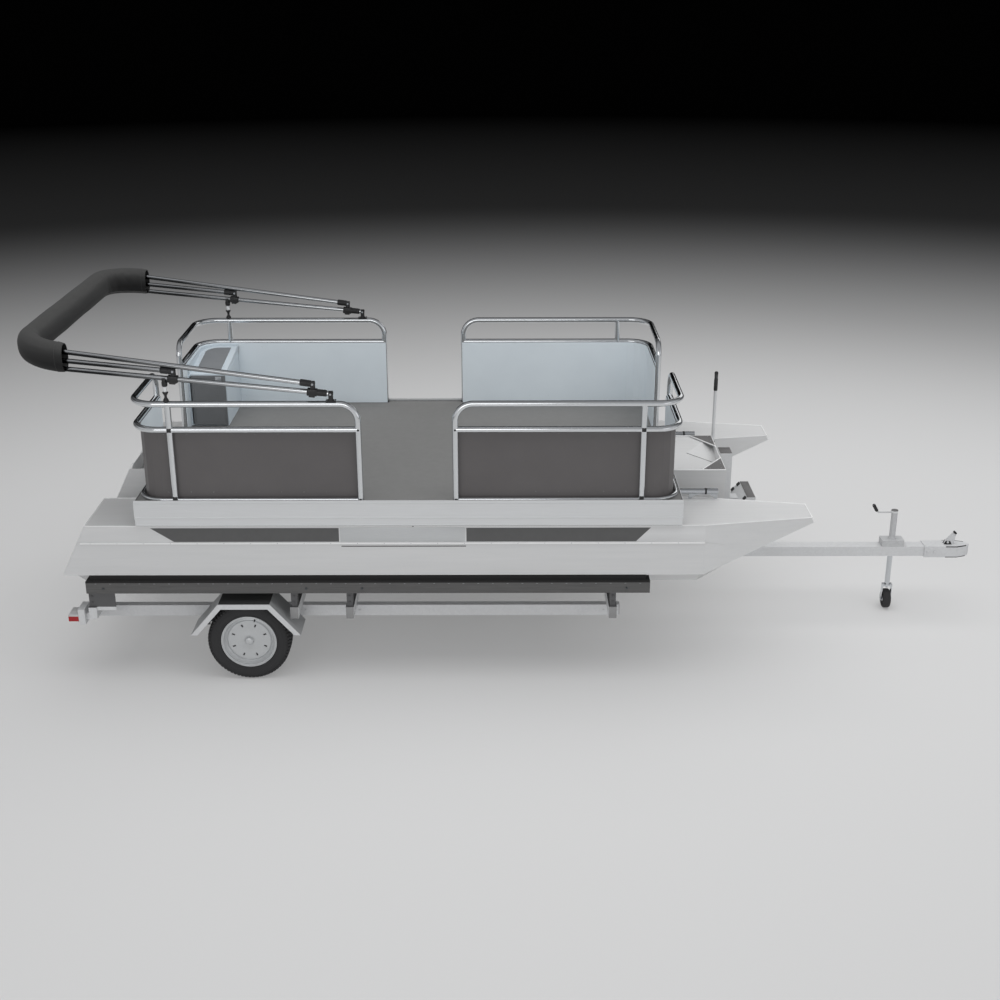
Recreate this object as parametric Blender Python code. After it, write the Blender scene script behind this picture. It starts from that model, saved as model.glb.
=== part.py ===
"""A small pontoon boat lashed down on its single-axle road trailer.

Two parents place everything. "boat" has X = 0 at the side gate and Z = 0 on the deck. "trailer" has the
same X and Z = 0 on the ground. +X is forward, to the coupling, and -Y is starboard. Metres.
"""

import math

import bmesh
import bpy
from mathutils import Matrix, Vector

for old in list(bpy.data.objects):
    bpy.data.objects.remove(old)

# Clearances
SEAT = 0.0003        # between faces that touch
RUN = 0.0005         # round a pin or a sliding tube
FREE = 0.005         # round a piece that swings clear

# Deck
DECK_HEIGHT = 1.32   # above the ground
DECK_HALF_LENGTH = 1.83
DECK_HALF_WIDTH = 1.141
DECK_THICKNESS = 0.025
TRIM_THICKNESS = 0.004
TRIM_DEPTH = 0.12
FASCIA_LIP = 0.018   # how far the side extrusion stands above the deck
FASCIA_DEPTH = 0.162
FASCIA_WALL = 0.004
FASCIA_BEAD = 0.0025
CHANNEL_WIDTH = 0.05
CHANNEL_COUNT = 6
CHANNEL_END = 0.11   # from the deck's end to the last channel
STRINGER_HALF = 0.02
STRINGER_HEIGHT = 0.06
CHANNEL_INSET = 0.01
FASCIA_RIBS = ((FASCIA_LIP, -0.002), (-0.102, -0.11), (0.004 - FASCIA_DEPTH, -FASCIA_DEPTH))

# Fence of bent tube
FENCE_TUBE = 0.021   # radius
FENCE_HALF_LENGTH = DECK_HALF_LENGTH - FENCE_TUBE - 0.006
FENCE_HALF_WIDTH = DECK_HALF_WIDTH - FENCE_TUBE - 0.002
TOP_RAIL = 0.68
MID_RAIL = 0.505
GATE_HALF = 0.317
SECOND_POST_X = FENCE_HALF_LENGTH - 0.252
END_POST_Y = 0.38
GATE_BEND = 0.12
PLAN_BEND = 0.17
END_BEND = 0.1
PANEL_THICKNESS = 0.004

# Pontoons
PONTOON_Y = DECK_HALF_WIDTH - 0.271
PONTOON_HALF = 0.26
PONTOON_TOP = -0.17
CHINE = -0.53
KEEL = -0.69
LEDGE = 0.1          # flat of the chine that the bunks bear on
TRANSOM_TOP_X = -DECK_HALF_LENGTH - 0.35
TRANSOM_CHINE_X = TRANSOM_TOP_X - 0.18
TRANSOM_KEEL_X = TRANSOM_TOP_X - 0.11
KNUCKLE_X = DECK_HALF_LENGTH + 0.16
TIP_X = KNUCKLE_X + 0.74
TIP_HALF = 0.126
TIP_DEPTH = 0.035
TIP_RAKE = 0.014
RUB_STRIP = -0.295
RUB_HALF = 0.006
RUB_PROUD = 0.008

# Bow well and stern motor pod
POD_HALF = 0.38
POD_TOP = -0.05
POD_WALL = 0.006
POD_SIDE_DEPTH = 0.24
POD_VEE = 0.07
BOW_POD_LENGTH = 0.395
WELL_START = 0.16    # from the deck to where the well's floor begins to fall
WELL_DEPTH = 0.085
GUSSET_X = 0.17
GUSSET_Y = 0.25
GUSSET_THICKNESS = 0.004
STERN_POD_HALF = 0.34
STERN_POD_LENGTH = 0.225
STERN_POD_DEPTH = 0.42
STERN_POD_BOARD = 0.04
POLE_RADIUS = 0.012
POLE_TOP = 0.32
LAMP_HEIGHT = 0.15
LAMP_RADIUS = 0.0145
BRACE_RADIUS = 0.019
BRACE_LENGTH = 0.303
BRACE_HEIGHT = 0.053 # of its axis above the pontoon
SADDLE_START = 0.1
SADDLE_HALF = 0.01
ARCH_WIDTH = 2.4     # of the saddle's arch, to its height

# Corner locker
LOCKER_LENGTH = 0.287
LOCKER_FACE_Y = 0.504
LOCKER_HEIGHT = 0.41
LOCKER_WALL = 0.012
LOCKER_BEND = 0.02
DOOR_THICKNESS = 0.014
DOOR_MARGIN = 0.008
KNUCKLE_RADIUS = 0.004
KNUCKLE_SET = 0.018  # of the door's hinge pin from the locker's edge

# Bimini, folded in its boot
BIMINI_X = -GATE_HALF - 0.169
BIMINI_Z = TOP_RAIL + 0.07
BOW_TUBE = 0.0165
BOW_BEND = 0.3
HINGE_PIN = 0.0045
EAR = 0.005
EAR_HALF = 0.013
BOOT_RUN_X = -DECK_HALF_LENGTH - 0.65
BOOT_MOUTH_X = BOOT_RUN_X + 0.3
BOOT_THICKNESS = 0.152
BOOT_HEIGHT = 0.196
BOOT_SQUARENESS = 0.8
BOOT_LIFT = 0.02     # of the boot's middle over the bows' middle, for the canopy on top
MAIN_SLOPE = 0.0995
MIDDLE_BOW_X = -SECOND_POST_X + 0.057
MIDDLE_OVER_MAIN = 0.0517
MIDDLE_BOW_Z = BIMINI_Z + MAIN_SLOPE * (BIMINI_X - MIDDLE_BOW_X) + MIDDLE_OVER_MAIN
MIDDLE_SLOPE = 0.1035
AUX_BOW_X = BIMINI_X - 0.114
AUX_OVER_MAIN = 0.0547
AUX_OVER_MIDDLE = 0.0364
AUX_BOW_Z = BIMINI_Z + MAIN_SLOPE * (BIMINI_X - AUX_BOW_X) + AUX_OVER_MAIN
AUX_SLOPE = (MIDDLE_BOW_Z + AUX_OVER_MIDDLE - AUX_BOW_Z) / (AUX_BOW_X - MIDDLE_BOW_X)
SLIDE_HALF = 0.022
PROP_X = -SECOND_POST_X - 0.004
PROP_FOOT = 0.02
PROP_PROFILE = ((0.3, 0.42), (0.46, 0.95), (0.47, 0.55), (0.7, 0.55), (0.72, 0.95), (0.9, 0.9))

# Trailer, heights from the ground
RAIL_TOP = 0.477
RAIL_DEPTH = 0.08
RAIL_OUTER_Y = PONTOON_Y + 0.08
RAIL_WIDTH = 0.055
RAIL_BACK_X = -2.27
RAIL_FRONT_X = 1.44
CROSS_XS = (-2.18, -0.80, -0.42, 1.38)
CROSS_TOP = 0.56
CROSS_WIDTH = 0.055
CROSS_DEPTH = 0.085
CROSS_HALF = RAIL_OUTER_Y + 0.21
BRACKET_X = 0.02
BRACKET_Y = 0.035
BACK_PLATE = 0.16    # length of the plate that braces the hindmost bracket
BUNK_TOP = DECK_HEIGHT + CHINE - SEAT
BUNK_DEPTH = 0.124
BUNK_WIDTH = 0.1
PAD_DEPTH = 0.036    # the carpeted strip on top of the plank
PAD_INSET = 0.025
BUNK_BACK_X = -2.208
BUNK_FRONT_X = 1.628
BUNK_Y = 0.24        # from the pontoon's middle to a bunk's middle
DRAWBAR_TOP = 0.525
DRAWBAR_DEPTH = 0.075
DRAWBAR_HALF = 0.05
DRAWBAR_FRONT_X = 3.83
WHEEL_X = -1.13
TYRE_RADIUS = 0.2875
TYRE_WIDTH = 0.165
TYRE_OUTER_Y = RAIL_OUTER_Y + 0.2
RIM_RADIUS = 0.1925
BEAD_RADIUS = 0.178
WHEEL_SIDES = 24     # facets round tyre and rim alike, so that they seat
VENT_CIRCLE = 0.1175 # middle of the eight radial slots
VENT_LENGTH = 0.022
VENT_HALF = 0.0055
BEAD_INSET = 0.012
# (inset from the sidewall, share of the tyre's radius)
TYRE_WALL = ((0.002, 0.748), (0, 0.817), (0.004, 0.911), (0.018, 0.983), (0.03, 1))
# (along the axle, share of the rim's radius) over the front of the disc and back behind it
DISC_PROFILE = ((0.02, 0.894), (0.022, 0.805), (0.012, 0.727), (0.008, 0.571), (0.03, 0.442), (0.034, 0.182),
                (0.052, 0.145), (0.052, 0), (-0.06, 0), (-0.06, 0.182), (0.016, 0.182), (0.022, 0.416),
                (0, 0.545), (0.004, 0.727), (0.012, 0.779), (0.004, 0.894))
AXLE_SIZE = 0.05
SPINDLE_RADIUS = 0.02
SPRING_HALF = 0.32
SPRING_THICKNESS = 0.018
SPRING_WIDTH = 0.045
SPRING_RISE = 0.03
HANGER_HALF = 0.02
GUARD_OVER = 0.024   # over the tyre's top
GUARD_TOP_HALF = 0.1765
GUARD_END_HALF = 0.3775
GUARD_DROP = 0.232
GUARD_SHIFT = -0.0065
GUARD_OUTER_Y = TYRE_OUTER_Y + 0.05
GUARD_SHEET = 0.004
GUARD_LIP = 0.037
LAMP_BACK_X = -2.352
LAMP_LENGTH = 0.069
LAMP_Z = (0.456, 0.50)
LAMP_WIDTH = 0.13
HOUSING_LENGTH = 0.045
HOUSING_Z = (0.43, 0.545)
POST_X = DECK_HALF_LENGTH + 0.45
POST_TOP = 1.28
POST_HALF_X = 0.045
POST_HALF_Y = 0.07
STOP_TOP = 0.973
STOP_BACK = 0.108    # from the winch post's face to the top of the bow stop
STOP_LENGTH = 0.065
STOP_SLOPE = 0.063
STOP_DEPTH = 0.095
STOP_FOOT = 0.0285   # upright part under the slope
STOP_HALF = 0.17
STOP_ARM = 0.045
COUPLING_LENGTH = 0.35
COUPLING_HALF = 0.062
COUPLING_WALL = 0.006
BALL_BACK = 0.09     # from the coupling's tip to the ball's middle
BALL_RADIUS = 0.0265
BALL_DEPTH = 0.03
LEVER_BACK = 0.19
LEVER_LENGTH = 0.085
LEVER_HEIGHT = 0.096
LEVER_HALF = 0.012
LEVER_SHAPE = ((0, 0), (0.82, 0), (1, 0.93), (0.82, 1), (0.12, 0.3))
COUPLING_NOSE = ((0.29, 1), (0.085, 0.56))
JACK_X = 3.59
JACK_TOP = 0.807
JACK_RADIUS = 0.023
JACK_PLATE = (0.083, 0.05, 0.05)
CRANK_REACH = 0.165
CRANK_ARM = 0.125    # to where the crank turns up
GRIP_START = 0.135
CRANK_RADIUS = 0.006
GRIP_RADIUS = 0.011
GRIP_LENGTH = 0.062
LEG_RADIUS = 0.0195
LEG_BOTTOM = 0.197
LEG_LENGTH = 0.34
KING_RADIUS = 0.007
FORK_THICKNESS = 0.016
FORK_PLATE = 0.005
JOCKEY_RADIUS = 0.075
JOCKEY_WIDTH = 0.055
JOCKEY_AXLE = 0.008
JOCKEY_PROFILE = ((1, 0.73), (0.78, 0.9), (0.42, 1))
COUPLING_TIP_X = DRAWBAR_FRONT_X + COUPLING_LENGTH

SIDES = (("starboard", -1), ("port", 1))
ENDS = (("aft", -1), ("fore", 1))

# The origin is under the middle of the whole length, boot to coupling.
GATE_X = (-BOOT_RUN_X + BOOT_THICKNESS / 2 - COUPLING_TIP_X) / 2


def parent_at(name, x, z):
    empty = bpy.data.objects.new(name, None)
    empty.location = (x, 0, z)
    bpy.context.scene.collection.objects.link(empty)
    return empty


BOAT = parent_at("boat", GATE_X, DECK_HEIGHT)
TRAILER = parent_at("trailer", GATE_X, 0)


def material(name, colour, metallic, roughness):
    made = bpy.data.materials.new(name)
    made.use_nodes = True
    shader = made.node_tree.nodes["Principled BSDF"]
    shader.inputs["Base Color"].default_value = (*colour, 1)
    shader.inputs["Metallic"].default_value = metallic
    shader.inputs["Roughness"].default_value = roughness
    return made


ALUMINIUM = material("aluminium", (0.60, 0.61, 0.62), 1, 0.35)
HULL = material("hull aluminium", (0.52, 0.53, 0.54), 0.9, 0.4)
DECKING = material("deck vinyl", (0.18, 0.18, 0.18), 0, 0.8)
SKIN = material("fence sheet", (0.11, 0.105, 0.105), 0, 0.5)
PLASTIC = material("black plastic", (0.02, 0.02, 0.02), 0, 0.5)
CLOTH = material("boot cloth", (0.05, 0.05, 0.05), 0, 0.9)
ZINC = material("galvanised steel", (0.50, 0.50, 0.50), 1, 0.5)
CARPET = material("bunk carpet", (0.07, 0.07, 0.07), 0, 0.95)
RUBBER = material("tyre rubber", (0.03, 0.03, 0.03), 0, 0.8)
RED = material("red lens", (0.45, 0.01, 0.01), 0, 0.2)


def new_mesh(vertices, faces):
    shape = bmesh.new()
    made = [shape.verts.new(v) for v in vertices]
    for face in faces:
        shape.faces.new([made[i] for i in face])
    bmesh.ops.recalc_face_normals(shape, faces=shape.faces)
    mesh = bpy.data.meshes.new("piece")
    shape.to_mesh(mesh)
    shape.free()
    return mesh


def loft(rings):
    """A closed solid through rings of equally many points, with flat ends."""
    count = len(rings[0])
    vertices = [point for ring in rings for point in ring]
    faces = [tuple(range(count)), tuple(range(len(vertices) - count, len(vertices)))]
    for row in range(len(rings) - 1):
        for i in range(count):
            j = (i + 1) % count
            a, b = row * count, (row + 1) * count
            faces.append((a + i, a + j, b + j, b + i))
    return new_mesh(vertices, faces)


def box(low, high):
    x0, y0, z0 = low
    x1, y1, z1 = high
    ring = ((x0, y0), (x1, y0), (x1, y1), (x0, y1))
    return loft([[(x, y, z) for x, y in ring] for z in (z0, z1)])


def mirrored_box(low, high, side):
    """A box given for the port side, put on the side asked for."""
    (x0, y0, z0), (x1, y1, z1) = low, high
    if side < 0:
        y0, y1 = -y1, -y0
    return box((x0, y0, z0), (x1, y1, z1))


def prism(outline, axis, low, high):
    """An outline of two coordinates drawn out along the axis that it leaves out."""
    rings = [[list(point) for point in outline] for _ in range(2)]
    for ring, place in zip(rings, (low, high)):
        for point in ring:
            point.insert(axis, place)
    return loft(rings)


def rounded(points, radii, steps=4):
    """The points of a path with each inner corner replaced by an arc."""
    points = [Vector(p) for p in points]
    path = [points[0]]
    for before, corner, after, radius in zip(points, points[1:], points[2:], radii):
        back, on = (before - corner).normalized(), (after - corner).normalized()
        half = back.angle(on) / 2
        middle = corner + (back + on).normalized() * radius / math.sin(half)
        start = corner + back * radius / math.tan(half)
        spoke = start - middle
        turn = math.pi - 2 * half
        axis = spoke.cross(corner + on * radius / math.tan(half) - middle).normalized()
        path += [middle + Matrix.Rotation(turn * i / steps, 3, axis) @ spoke for i in range(steps + 1)]
    return path + [points[-1]]


def swept(path, outline):
    """The outline, as pairs (sideways, up), carried along the path, with each joint mitred."""
    path = [Vector(p) for p in path]
    runs = [(b - a).normalized() for a, b in zip(path, path[1:])]
    level = Vector((0, 0, 1)) if abs(runs[0].z) < 0.9 else Vector((1, 0, 0))
    side = runs[0].cross(level).normalized()
    ring = [path[0] + side * u + side.cross(runs[0]) * v for u, v in outline]
    rings = [ring]
    for i in range(1, len(path)):
        plane = runs[i - 1] + (runs[i] if i < len(runs) else runs[i - 1])
        plane.normalize()
        step = runs[i - 1]
        ring = [p + step * ((path[i] - p).dot(plane) / step.dot(plane)) for p in ring]
        rings.append(ring)
    return loft(rings)


def circle(radius, sides=12):
    turns = [math.tau * i / sides for i in range(sides)]
    return [(radius * math.cos(turn), radius * math.sin(turn)) for turn in turns]


def tube(path, radius, sides=12):
    return swept(path, circle(radius, sides))


def turned(profile, centre, axis, sides=32):
    """A profile of (along, radius) turned round an axis. It closes on itself or on the axis."""
    centre = Vector(centre)
    along = Vector([1 if i == axis else 0 for i in range(3)])
    first = Vector([1 if i == (axis + 1) % 3 else 0 for i in range(3)])
    second = along.cross(first)
    shape = bmesh.new()
    rows = []
    for a, r in profile:
        if r == 0:
            rows.append([shape.verts.new(centre + along * a)])
            continue
        row = []
        for i in range(sides):
            angle = math.tau * i / sides
            spoke = first * math.cos(angle) + second * math.sin(angle)
            row.append(shape.verts.new(centre + along * a + spoke * r))
        rows.append(row)
    on_axis = len(rows[0]) == 1
    for k in range(len(rows) - (1 if on_axis else 0)):
        a, b = rows[k], rows[(k + 1) % len(rows)]
        for i in range(sides):
            j = (i + 1) % sides
            corners = [a[i % len(a)], a[j % len(a)], b[j % len(b)], b[i % len(b)]]
            corners = [v for n, v in enumerate(corners) if v not in corners[:n]]
            if len(corners) > 2:
                shape.faces.new(corners)
    bmesh.ops.recalc_face_normals(shape, faces=shape.faces)
    mesh = bpy.data.meshes.new("turned")
    shape.to_mesh(mesh)
    shape.free()
    return mesh


def rod(centre, axis, half, radius, sides=16):
    return turned(((-half, 0), (-half, radius), (half, radius), (half, 0)), centre, axis, sides)


def combined(base, others, operation):
    """The mesh with the others joined to it or cut from it."""
    if not others:
        return base
    holder = bpy.data.collections.new("tools")
    bpy.context.scene.collection.children.link(holder)
    target = bpy.data.objects.new("target", base)
    bpy.context.scene.collection.objects.link(target)
    for mesh in others:
        holder.objects.link(bpy.data.objects.new("tool", mesh))
    boolean = target.modifiers.new(operation, "BOOLEAN")
    boolean.operation = operation
    boolean.operand_type = "COLLECTION"
    boolean.collection = holder
    made = bpy.data.meshes.new_from_object(target.evaluated_get(bpy.context.evaluated_depsgraph_get()))
    for helper in list(holder.objects) + [target]:
        bpy.data.objects.remove(helper)
    bpy.data.collections.remove(holder)
    return made


def part(name, finish, parent, meshes, cuts=(), origin=(0, 0, 0)):
    """One named object: the meshes joined, the cuts taken away, and its origin where the parent has it."""
    mesh = combined(meshes[0], meshes[1:], "UNION")
    mesh = combined(mesh, list(cuts), "DIFFERENCE")
    mesh.name = name
    mesh.transform(Matrix.Translation(-Vector(origin)))
    mesh.materials.clear()
    mesh.materials.append(finish)
    mesh.shade_smooth()
    mesh.set_sharp_from_angle(angle=math.radians(35))
    made = bpy.data.objects.new(name, mesh)
    made.parent = parent
    made.location = origin
    bpy.context.scene.collection.objects.link(made)
    return made


# Pontoons: folded sheet hulls, flat on top, with a ledge at each chine, a vee keel and a raked transom
def pontoon_ring(middle, half, chine, keel, ledge, xs):
    """One section, port to starboard over the top and back along the bottom."""
    top_x, chine_x, keel_x = xs
    return [
        (top_x, middle + half, PONTOON_TOP),
        (top_x, middle - half, PONTOON_TOP),
        (chine_x, middle - half, chine),
        (chine_x, middle - half + ledge, chine),
        (keel_x, middle, keel),
        (chine_x, middle + half - ledge, chine),
        (chine_x, middle + half, chine),
    ]


tip_low = PONTOON_TOP - TIP_DEPTH
transom_rake = (TRANSOM_TOP_X - TRANSOM_CHINE_X) / (PONTOON_TOP - CHINE)
transom_xs = (TRANSOM_TOP_X, TRANSOM_CHINE_X, TRANSOM_KEEL_X)
strip_x = TRANSOM_TOP_X - transom_rake * (PONTOON_TOP - RUB_STRIP)
for name, side in SIDES:
    middle = side * PONTOON_Y
    rings = [
        pontoon_ring(middle, PONTOON_HALF, CHINE, KEEL, LEDGE, transom_xs),
        pontoon_ring(middle, PONTOON_HALF, CHINE, KEEL, LEDGE, (KNUCKLE_X,) * 3),
    ]
    for share in (0.5, 1):
        x = KNUCKLE_X + (TIP_X - KNUCKLE_X) * share
        half = PONTOON_HALF + (TIP_HALF - PONTOON_HALF) * share
        low_x = x + TIP_RAKE * share
        rings.append(pontoon_ring(middle, half, CHINE + (tip_low - CHINE) * share,
                                  KEEL + (tip_low - TIP_DEPTH / 3 - KEEL) * share,
                                  LEDGE * half / PONTOON_HALF, (x, low_x, low_x)))
    hull_side = PONTOON_Y + PONTOON_HALF
    strip = mirrored_box((strip_x + 2 * RUB_HALF, hull_side - RUB_PROUD / 4, RUB_STRIP - RUB_HALF),
                         (KNUCKLE_X, hull_side + RUB_PROUD, RUB_STRIP + RUB_HALF), side)
    part("pontoon_" + name, HULL, BOAT, [loft(rings), strip])

# Deck panel on aluminium channels, which bear on the pontoons
part("deck", DECKING, BOAT, [box((-DECK_HALF_LENGTH, -DECK_HALF_WIDTH, -DECK_THICKNESS),
                                 (DECK_HALF_LENGTH, DECK_HALF_WIDTH, 0))])
channel_top = -DECK_THICKNESS - SEAT
channel_bottom = PONTOON_TOP + SEAT
channel_y = DECK_HALF_WIDTH - CHANNEL_INSET
first_channel = CHANNEL_END - DECK_HALF_LENGTH
channels = []
for i in range(CHANNEL_COUNT):
    x = first_channel * (1 - 2 * i / (CHANNEL_COUNT - 1))
    channels.append(box((x - CHANNEL_WIDTH / 2, -channel_y, channel_bottom),
                        (x + CHANNEL_WIDTH / 2, channel_y, channel_top)))
stringer_top = channel_bottom + STRINGER_HEIGHT
for _, side in SIDES:
    channels.append(mirrored_box((first_channel, PONTOON_Y - STRINGER_HALF, channel_bottom),
                                 (-first_channel, PONTOON_Y + STRINGER_HALF, stringer_top), side))
part("deck_channels", ALUMINIUM, BOAT, channels)

# Side fascia: an extrusion with raised ribs, and its lip over the deck's edge
face = DECK_HALF_WIDTH + SEAT
outer = face + FASCIA_WALL
rib = outer + FASCIA_BEAD
for name, side in SIDES:
    outline = [(face, FASCIA_LIP)]
    for high, low in FASCIA_RIBS:
        if high < 0:
            outline.append((outer, high + FASCIA_WALL))
        outline += [(rib, high), (rib, low)]
        if low > -FASCIA_DEPTH:
            outline.append((outer, low - FASCIA_WALL))
    outline.append((face, -FASCIA_DEPTH))
    part("fascia_" + name, ALUMINIUM, BOAT,
         [prism([(side * y, z) for y, z in outline], 0, -DECK_HALF_LENGTH, DECK_HALF_LENGTH)])

# End trims: a plate over each end of the deck
front = DECK_HALF_LENGTH + TRIM_THICKNESS + 2 * SEAT
for name, end in ENDS:
    low, high = sorted((end * (DECK_HALF_LENGTH + SEAT), end * (front - SEAT)))
    part("end_trim_" + name, ALUMINIUM, BOAT,
         [box((low, -DECK_HALF_WIDTH, -TRIM_DEPTH), (high, DECK_HALF_WIDTH, 0))])

# Fence: four sections, each bent round one corner of the deck, with a post at the gate and one at the end
floor = FENCE_TUBE + SEAT
panel_inset = FENCE_TUBE + SEAT + PANEL_THICKNESS / 2
for side_name, side in SIDES:
    for end_name, end in ENDS:
        def at(x, y, z):
            return (end * x, side * y, z)

        def rail(z):
            return [at(GATE_HALF, FENCE_HALF_WIDTH, z), at(FENCE_HALF_LENGTH, FENCE_HALF_WIDTH, z),
                    at(FENCE_HALF_LENGTH, END_POST_Y, z)]

        feet = [at(GATE_HALF, FENCE_HALF_WIDTH, SEAT), at(FENCE_HALF_LENGTH, END_POST_Y, SEAT)]
        hoop = rounded([feet[0]] + rail(TOP_RAIL) + [feet[1]], (GATE_BEND, PLAN_BEND, END_BEND))
        meshes = [tube(hoop, FENCE_TUBE)]
        for z in (MID_RAIL, floor):
            meshes.append(tube(rounded(rail(z), (PLAN_BEND,)), FENCE_TUBE * 0.98))
        second = [at(SECOND_POST_X, FENCE_HALF_WIDTH, z) for z in (floor, TOP_RAIL)]
        meshes.append(tube(second, FENCE_TUBE * 0.96))
        section = side_name + "_" + end_name
        part("fence_frame_" + section, ALUMINIUM, BOAT, meshes)

        skin = [at(GATE_HALF - FENCE_TUBE / 2, FENCE_HALF_WIDTH - panel_inset, 0),
                at(FENCE_HALF_LENGTH - panel_inset, FENCE_HALF_WIDTH - panel_inset, 0),
                at(FENCE_HALF_LENGTH - panel_inset, END_POST_Y - FENCE_TUBE / 2, 0)]
        half = PANEL_THICKNESS / 2
        sheet = [(-half, half), (half, half), (half, MID_RAIL - half), (-half, MID_RAIL - half)]
        part("fence_panel_" + section, SKIN, BOAT, [swept(rounded(skin, (PLAN_BEND - panel_inset,)), sheet)])

# Bow pod: between the noses, its folded floor falling forward in a shallow vee to the front plate
bow_front = front + BOW_POD_LENGTH
pod_low = POD_TOP - POD_SIDE_DEPTH
pod_rim = POD_HALF - POD_WALL
floor_z = POD_TOP - POD_WALL
rings = []
for x, fall in ((front, 0), (front + WELL_START, 0), (bow_front - POD_WALL / 2, WELL_DEPTH)):
    section = [(POD_HALF, pod_low), (POD_HALF, POD_TOP), (pod_rim, POD_TOP), (pod_rim, floor_z),
               (0, floor_z - fall), (-pod_rim, floor_z), (-pod_rim, POD_TOP), (-POD_HALF, POD_TOP),
               (-POD_HALF, pod_low), (0, pod_low - POD_VEE)]
    rings.append([(x, y, z) for y, z in section])
front_plate = [(POD_HALF, pod_low), (POD_HALF, POD_TOP), (-POD_HALF, POD_TOP), (-POD_HALF, pod_low),
               (0, pod_low - POD_VEE)]
part("bow_pod", HULL, BOAT, [loft(rings), prism(front_plate, 0, bow_front - POD_WALL, bow_front)])
for name, side in SIDES:
    gusset = [(bow_front, side * POD_HALF), (bow_front, side * (POD_HALF - GUSSET_Y)),
              (bow_front - GUSSET_X, side * POD_HALF)]
    gusset_low = POD_TOP + SEAT
    part("pod_gusset_" + name, SKIN, BOAT, [prism(gusset, 2, gusset_low, gusset_low + GUSSET_THICKNESS)])

# All-round light on its pole, at the bow pod's front
pole_x = bow_front + SEAT + POLE_RADIUS
pole_y = POD_HALF - POLE_RADIUS * 1.7
pole = [(pole_x, pole_y, z) for z in (PONTOON_TOP, POLE_TOP)]
part("light_pole", ALUMINIUM, BOAT, [tube(pole, POLE_RADIUS)])
lamp = [(pole_x, pole_y, z) for z in (POLE_TOP + SEAT, POLE_TOP + LAMP_HEIGHT)]
part("all_round_light", PLASTIC, BOAT, [tube(lamp, LAMP_RADIUS)])

# Brace tubes, each on an arched saddle on its pontoon, between the deck and the nose
brace_z = PONTOON_TOP + BRACE_HEIGHT
brace_y = PONTOON_Y - PONTOON_HALF + BRACE_RADIUS
brace_end = front + BRACE_LENGTH
for name, side in SIDES:
    bar = tube([(front, side * brace_y, brace_z), (brace_end, side * brace_y, brace_z)], BRACE_RADIUS)
    saddle = mirrored_box((front + SADDLE_START, brace_y - SADDLE_HALF, PONTOON_TOP + SEAT),
                          (brace_end, brace_y + SADDLE_HALF, brace_z), side)
    arch_x = (front + SADDLE_START + brace_end) / 2
    arch = rod((arch_x, side * brace_y, PONTOON_TOP), 1, PONTOON_HALF, BRACE_HEIGHT - BRACE_RADIUS, 24)
    squashed = Matrix.Translation((arch_x, 0, 0)) @ Matrix.Scale(ARCH_WIDTH, 4, (1, 0, 0))
    arch.transform(squashed @ Matrix.Translation((-arch_x, 0, 0)))
    part("brace_tube_" + name, ALUMINIUM, BOAT, [bar, saddle], [arch])

# Stern pod: the raked transom that carries an outboard motor
back = -front
pod_back = back - STERN_POD_LENGTH
pod_floor = POD_TOP - STERN_POD_DEPTH
stern = [(back, POD_TOP), (pod_back, POD_TOP), (pod_back - transom_rake * STERN_POD_DEPTH, pod_floor),
         (back, pod_floor)]
inside_x = pod_back + STERN_POD_BOARD
inside_floor = pod_floor + POD_WALL
well = [(back - POD_WALL, 0), (inside_x + transom_rake * POD_TOP, 0),
        (inside_x - transom_rake * (POD_TOP - inside_floor), inside_floor), (back - POD_WALL, inside_floor)]
part("stern_pod", HULL, BOAT, [prism(stern, 1, -STERN_POD_HALF, STERN_POD_HALF)],
     [prism(well, 1, POD_WALL - STERN_POD_HALF, STERN_POD_HALF - POD_WALL)])

# Corner locker, fitted round the fence's bend, with a front door hinged on its outboard edge
locker_inset = FENCE_TUBE + PANEL_THICKNESS + 2 * SEAT
locker_back = locker_inset - FENCE_HALF_LENGTH
locker_front = locker_back + LOCKER_LENGTH
locker_side = FENCE_HALF_WIDTH - locker_inset
door_y = LOCKER_FACE_Y - SEAT - DOOR_THICKNESS / 2


def locker_outline(wall, face_y):
    corners = [(locker_front - wall, face_y, 0), (locker_front - wall, locker_side - wall, 0),
               (locker_back + wall, locker_side - wall, 0), (locker_back + wall, face_y, 0)]
    bends = (LOCKER_BEND, PLAN_BEND - locker_inset - wall)
    return [tuple(point)[:2] for point in rounded(corners, bends)]


shell = prism(locker_outline(0, LOCKER_FACE_Y), 2, SEAT, LOCKER_HEIGHT)
inside = prism(locker_outline(LOCKER_WALL, LOCKER_FACE_Y - LOCKER_WALL), 2, SEAT + LOCKER_WALL,
               LOCKER_HEIGHT - LOCKER_WALL)
hinge_x = locker_back + KNUCKLE_SET
door_half = LOCKER_HEIGHT / 2 - DOOR_MARGIN
leaf = box((locker_back, door_y, DOOR_MARGIN),
           (hinge_x, LOCKER_FACE_Y + KNUCKLE_RADIUS, LOCKER_HEIGHT - DOOR_MARGIN))
knuckle = rod((hinge_x, door_y, LOCKER_HEIGHT / 2), 2, door_half, KNUCKLE_RADIUS, 12)
part("corner_locker", ALUMINIUM, BOAT, [shell, leaf, knuckle], [inside])
door = box((hinge_x + KNUCKLE_RADIUS + 3 * RUN, door_y - DOOR_THICKNESS / 2, DOOR_MARGIN),
           (locker_front - DOOR_MARGIN / 2, door_y + DOOR_THICKNESS / 2, LOCKER_HEIGHT - DOOR_MARGIN))
part("locker_door", SKIN, BOAT, [door], origin=(hinge_x, door_y, 0))


# Bimini: three bows and their boot, laid back on two props
def bow_height(z, slope, from_x, at_x):
    return z + slope * (from_x - at_x)


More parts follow.
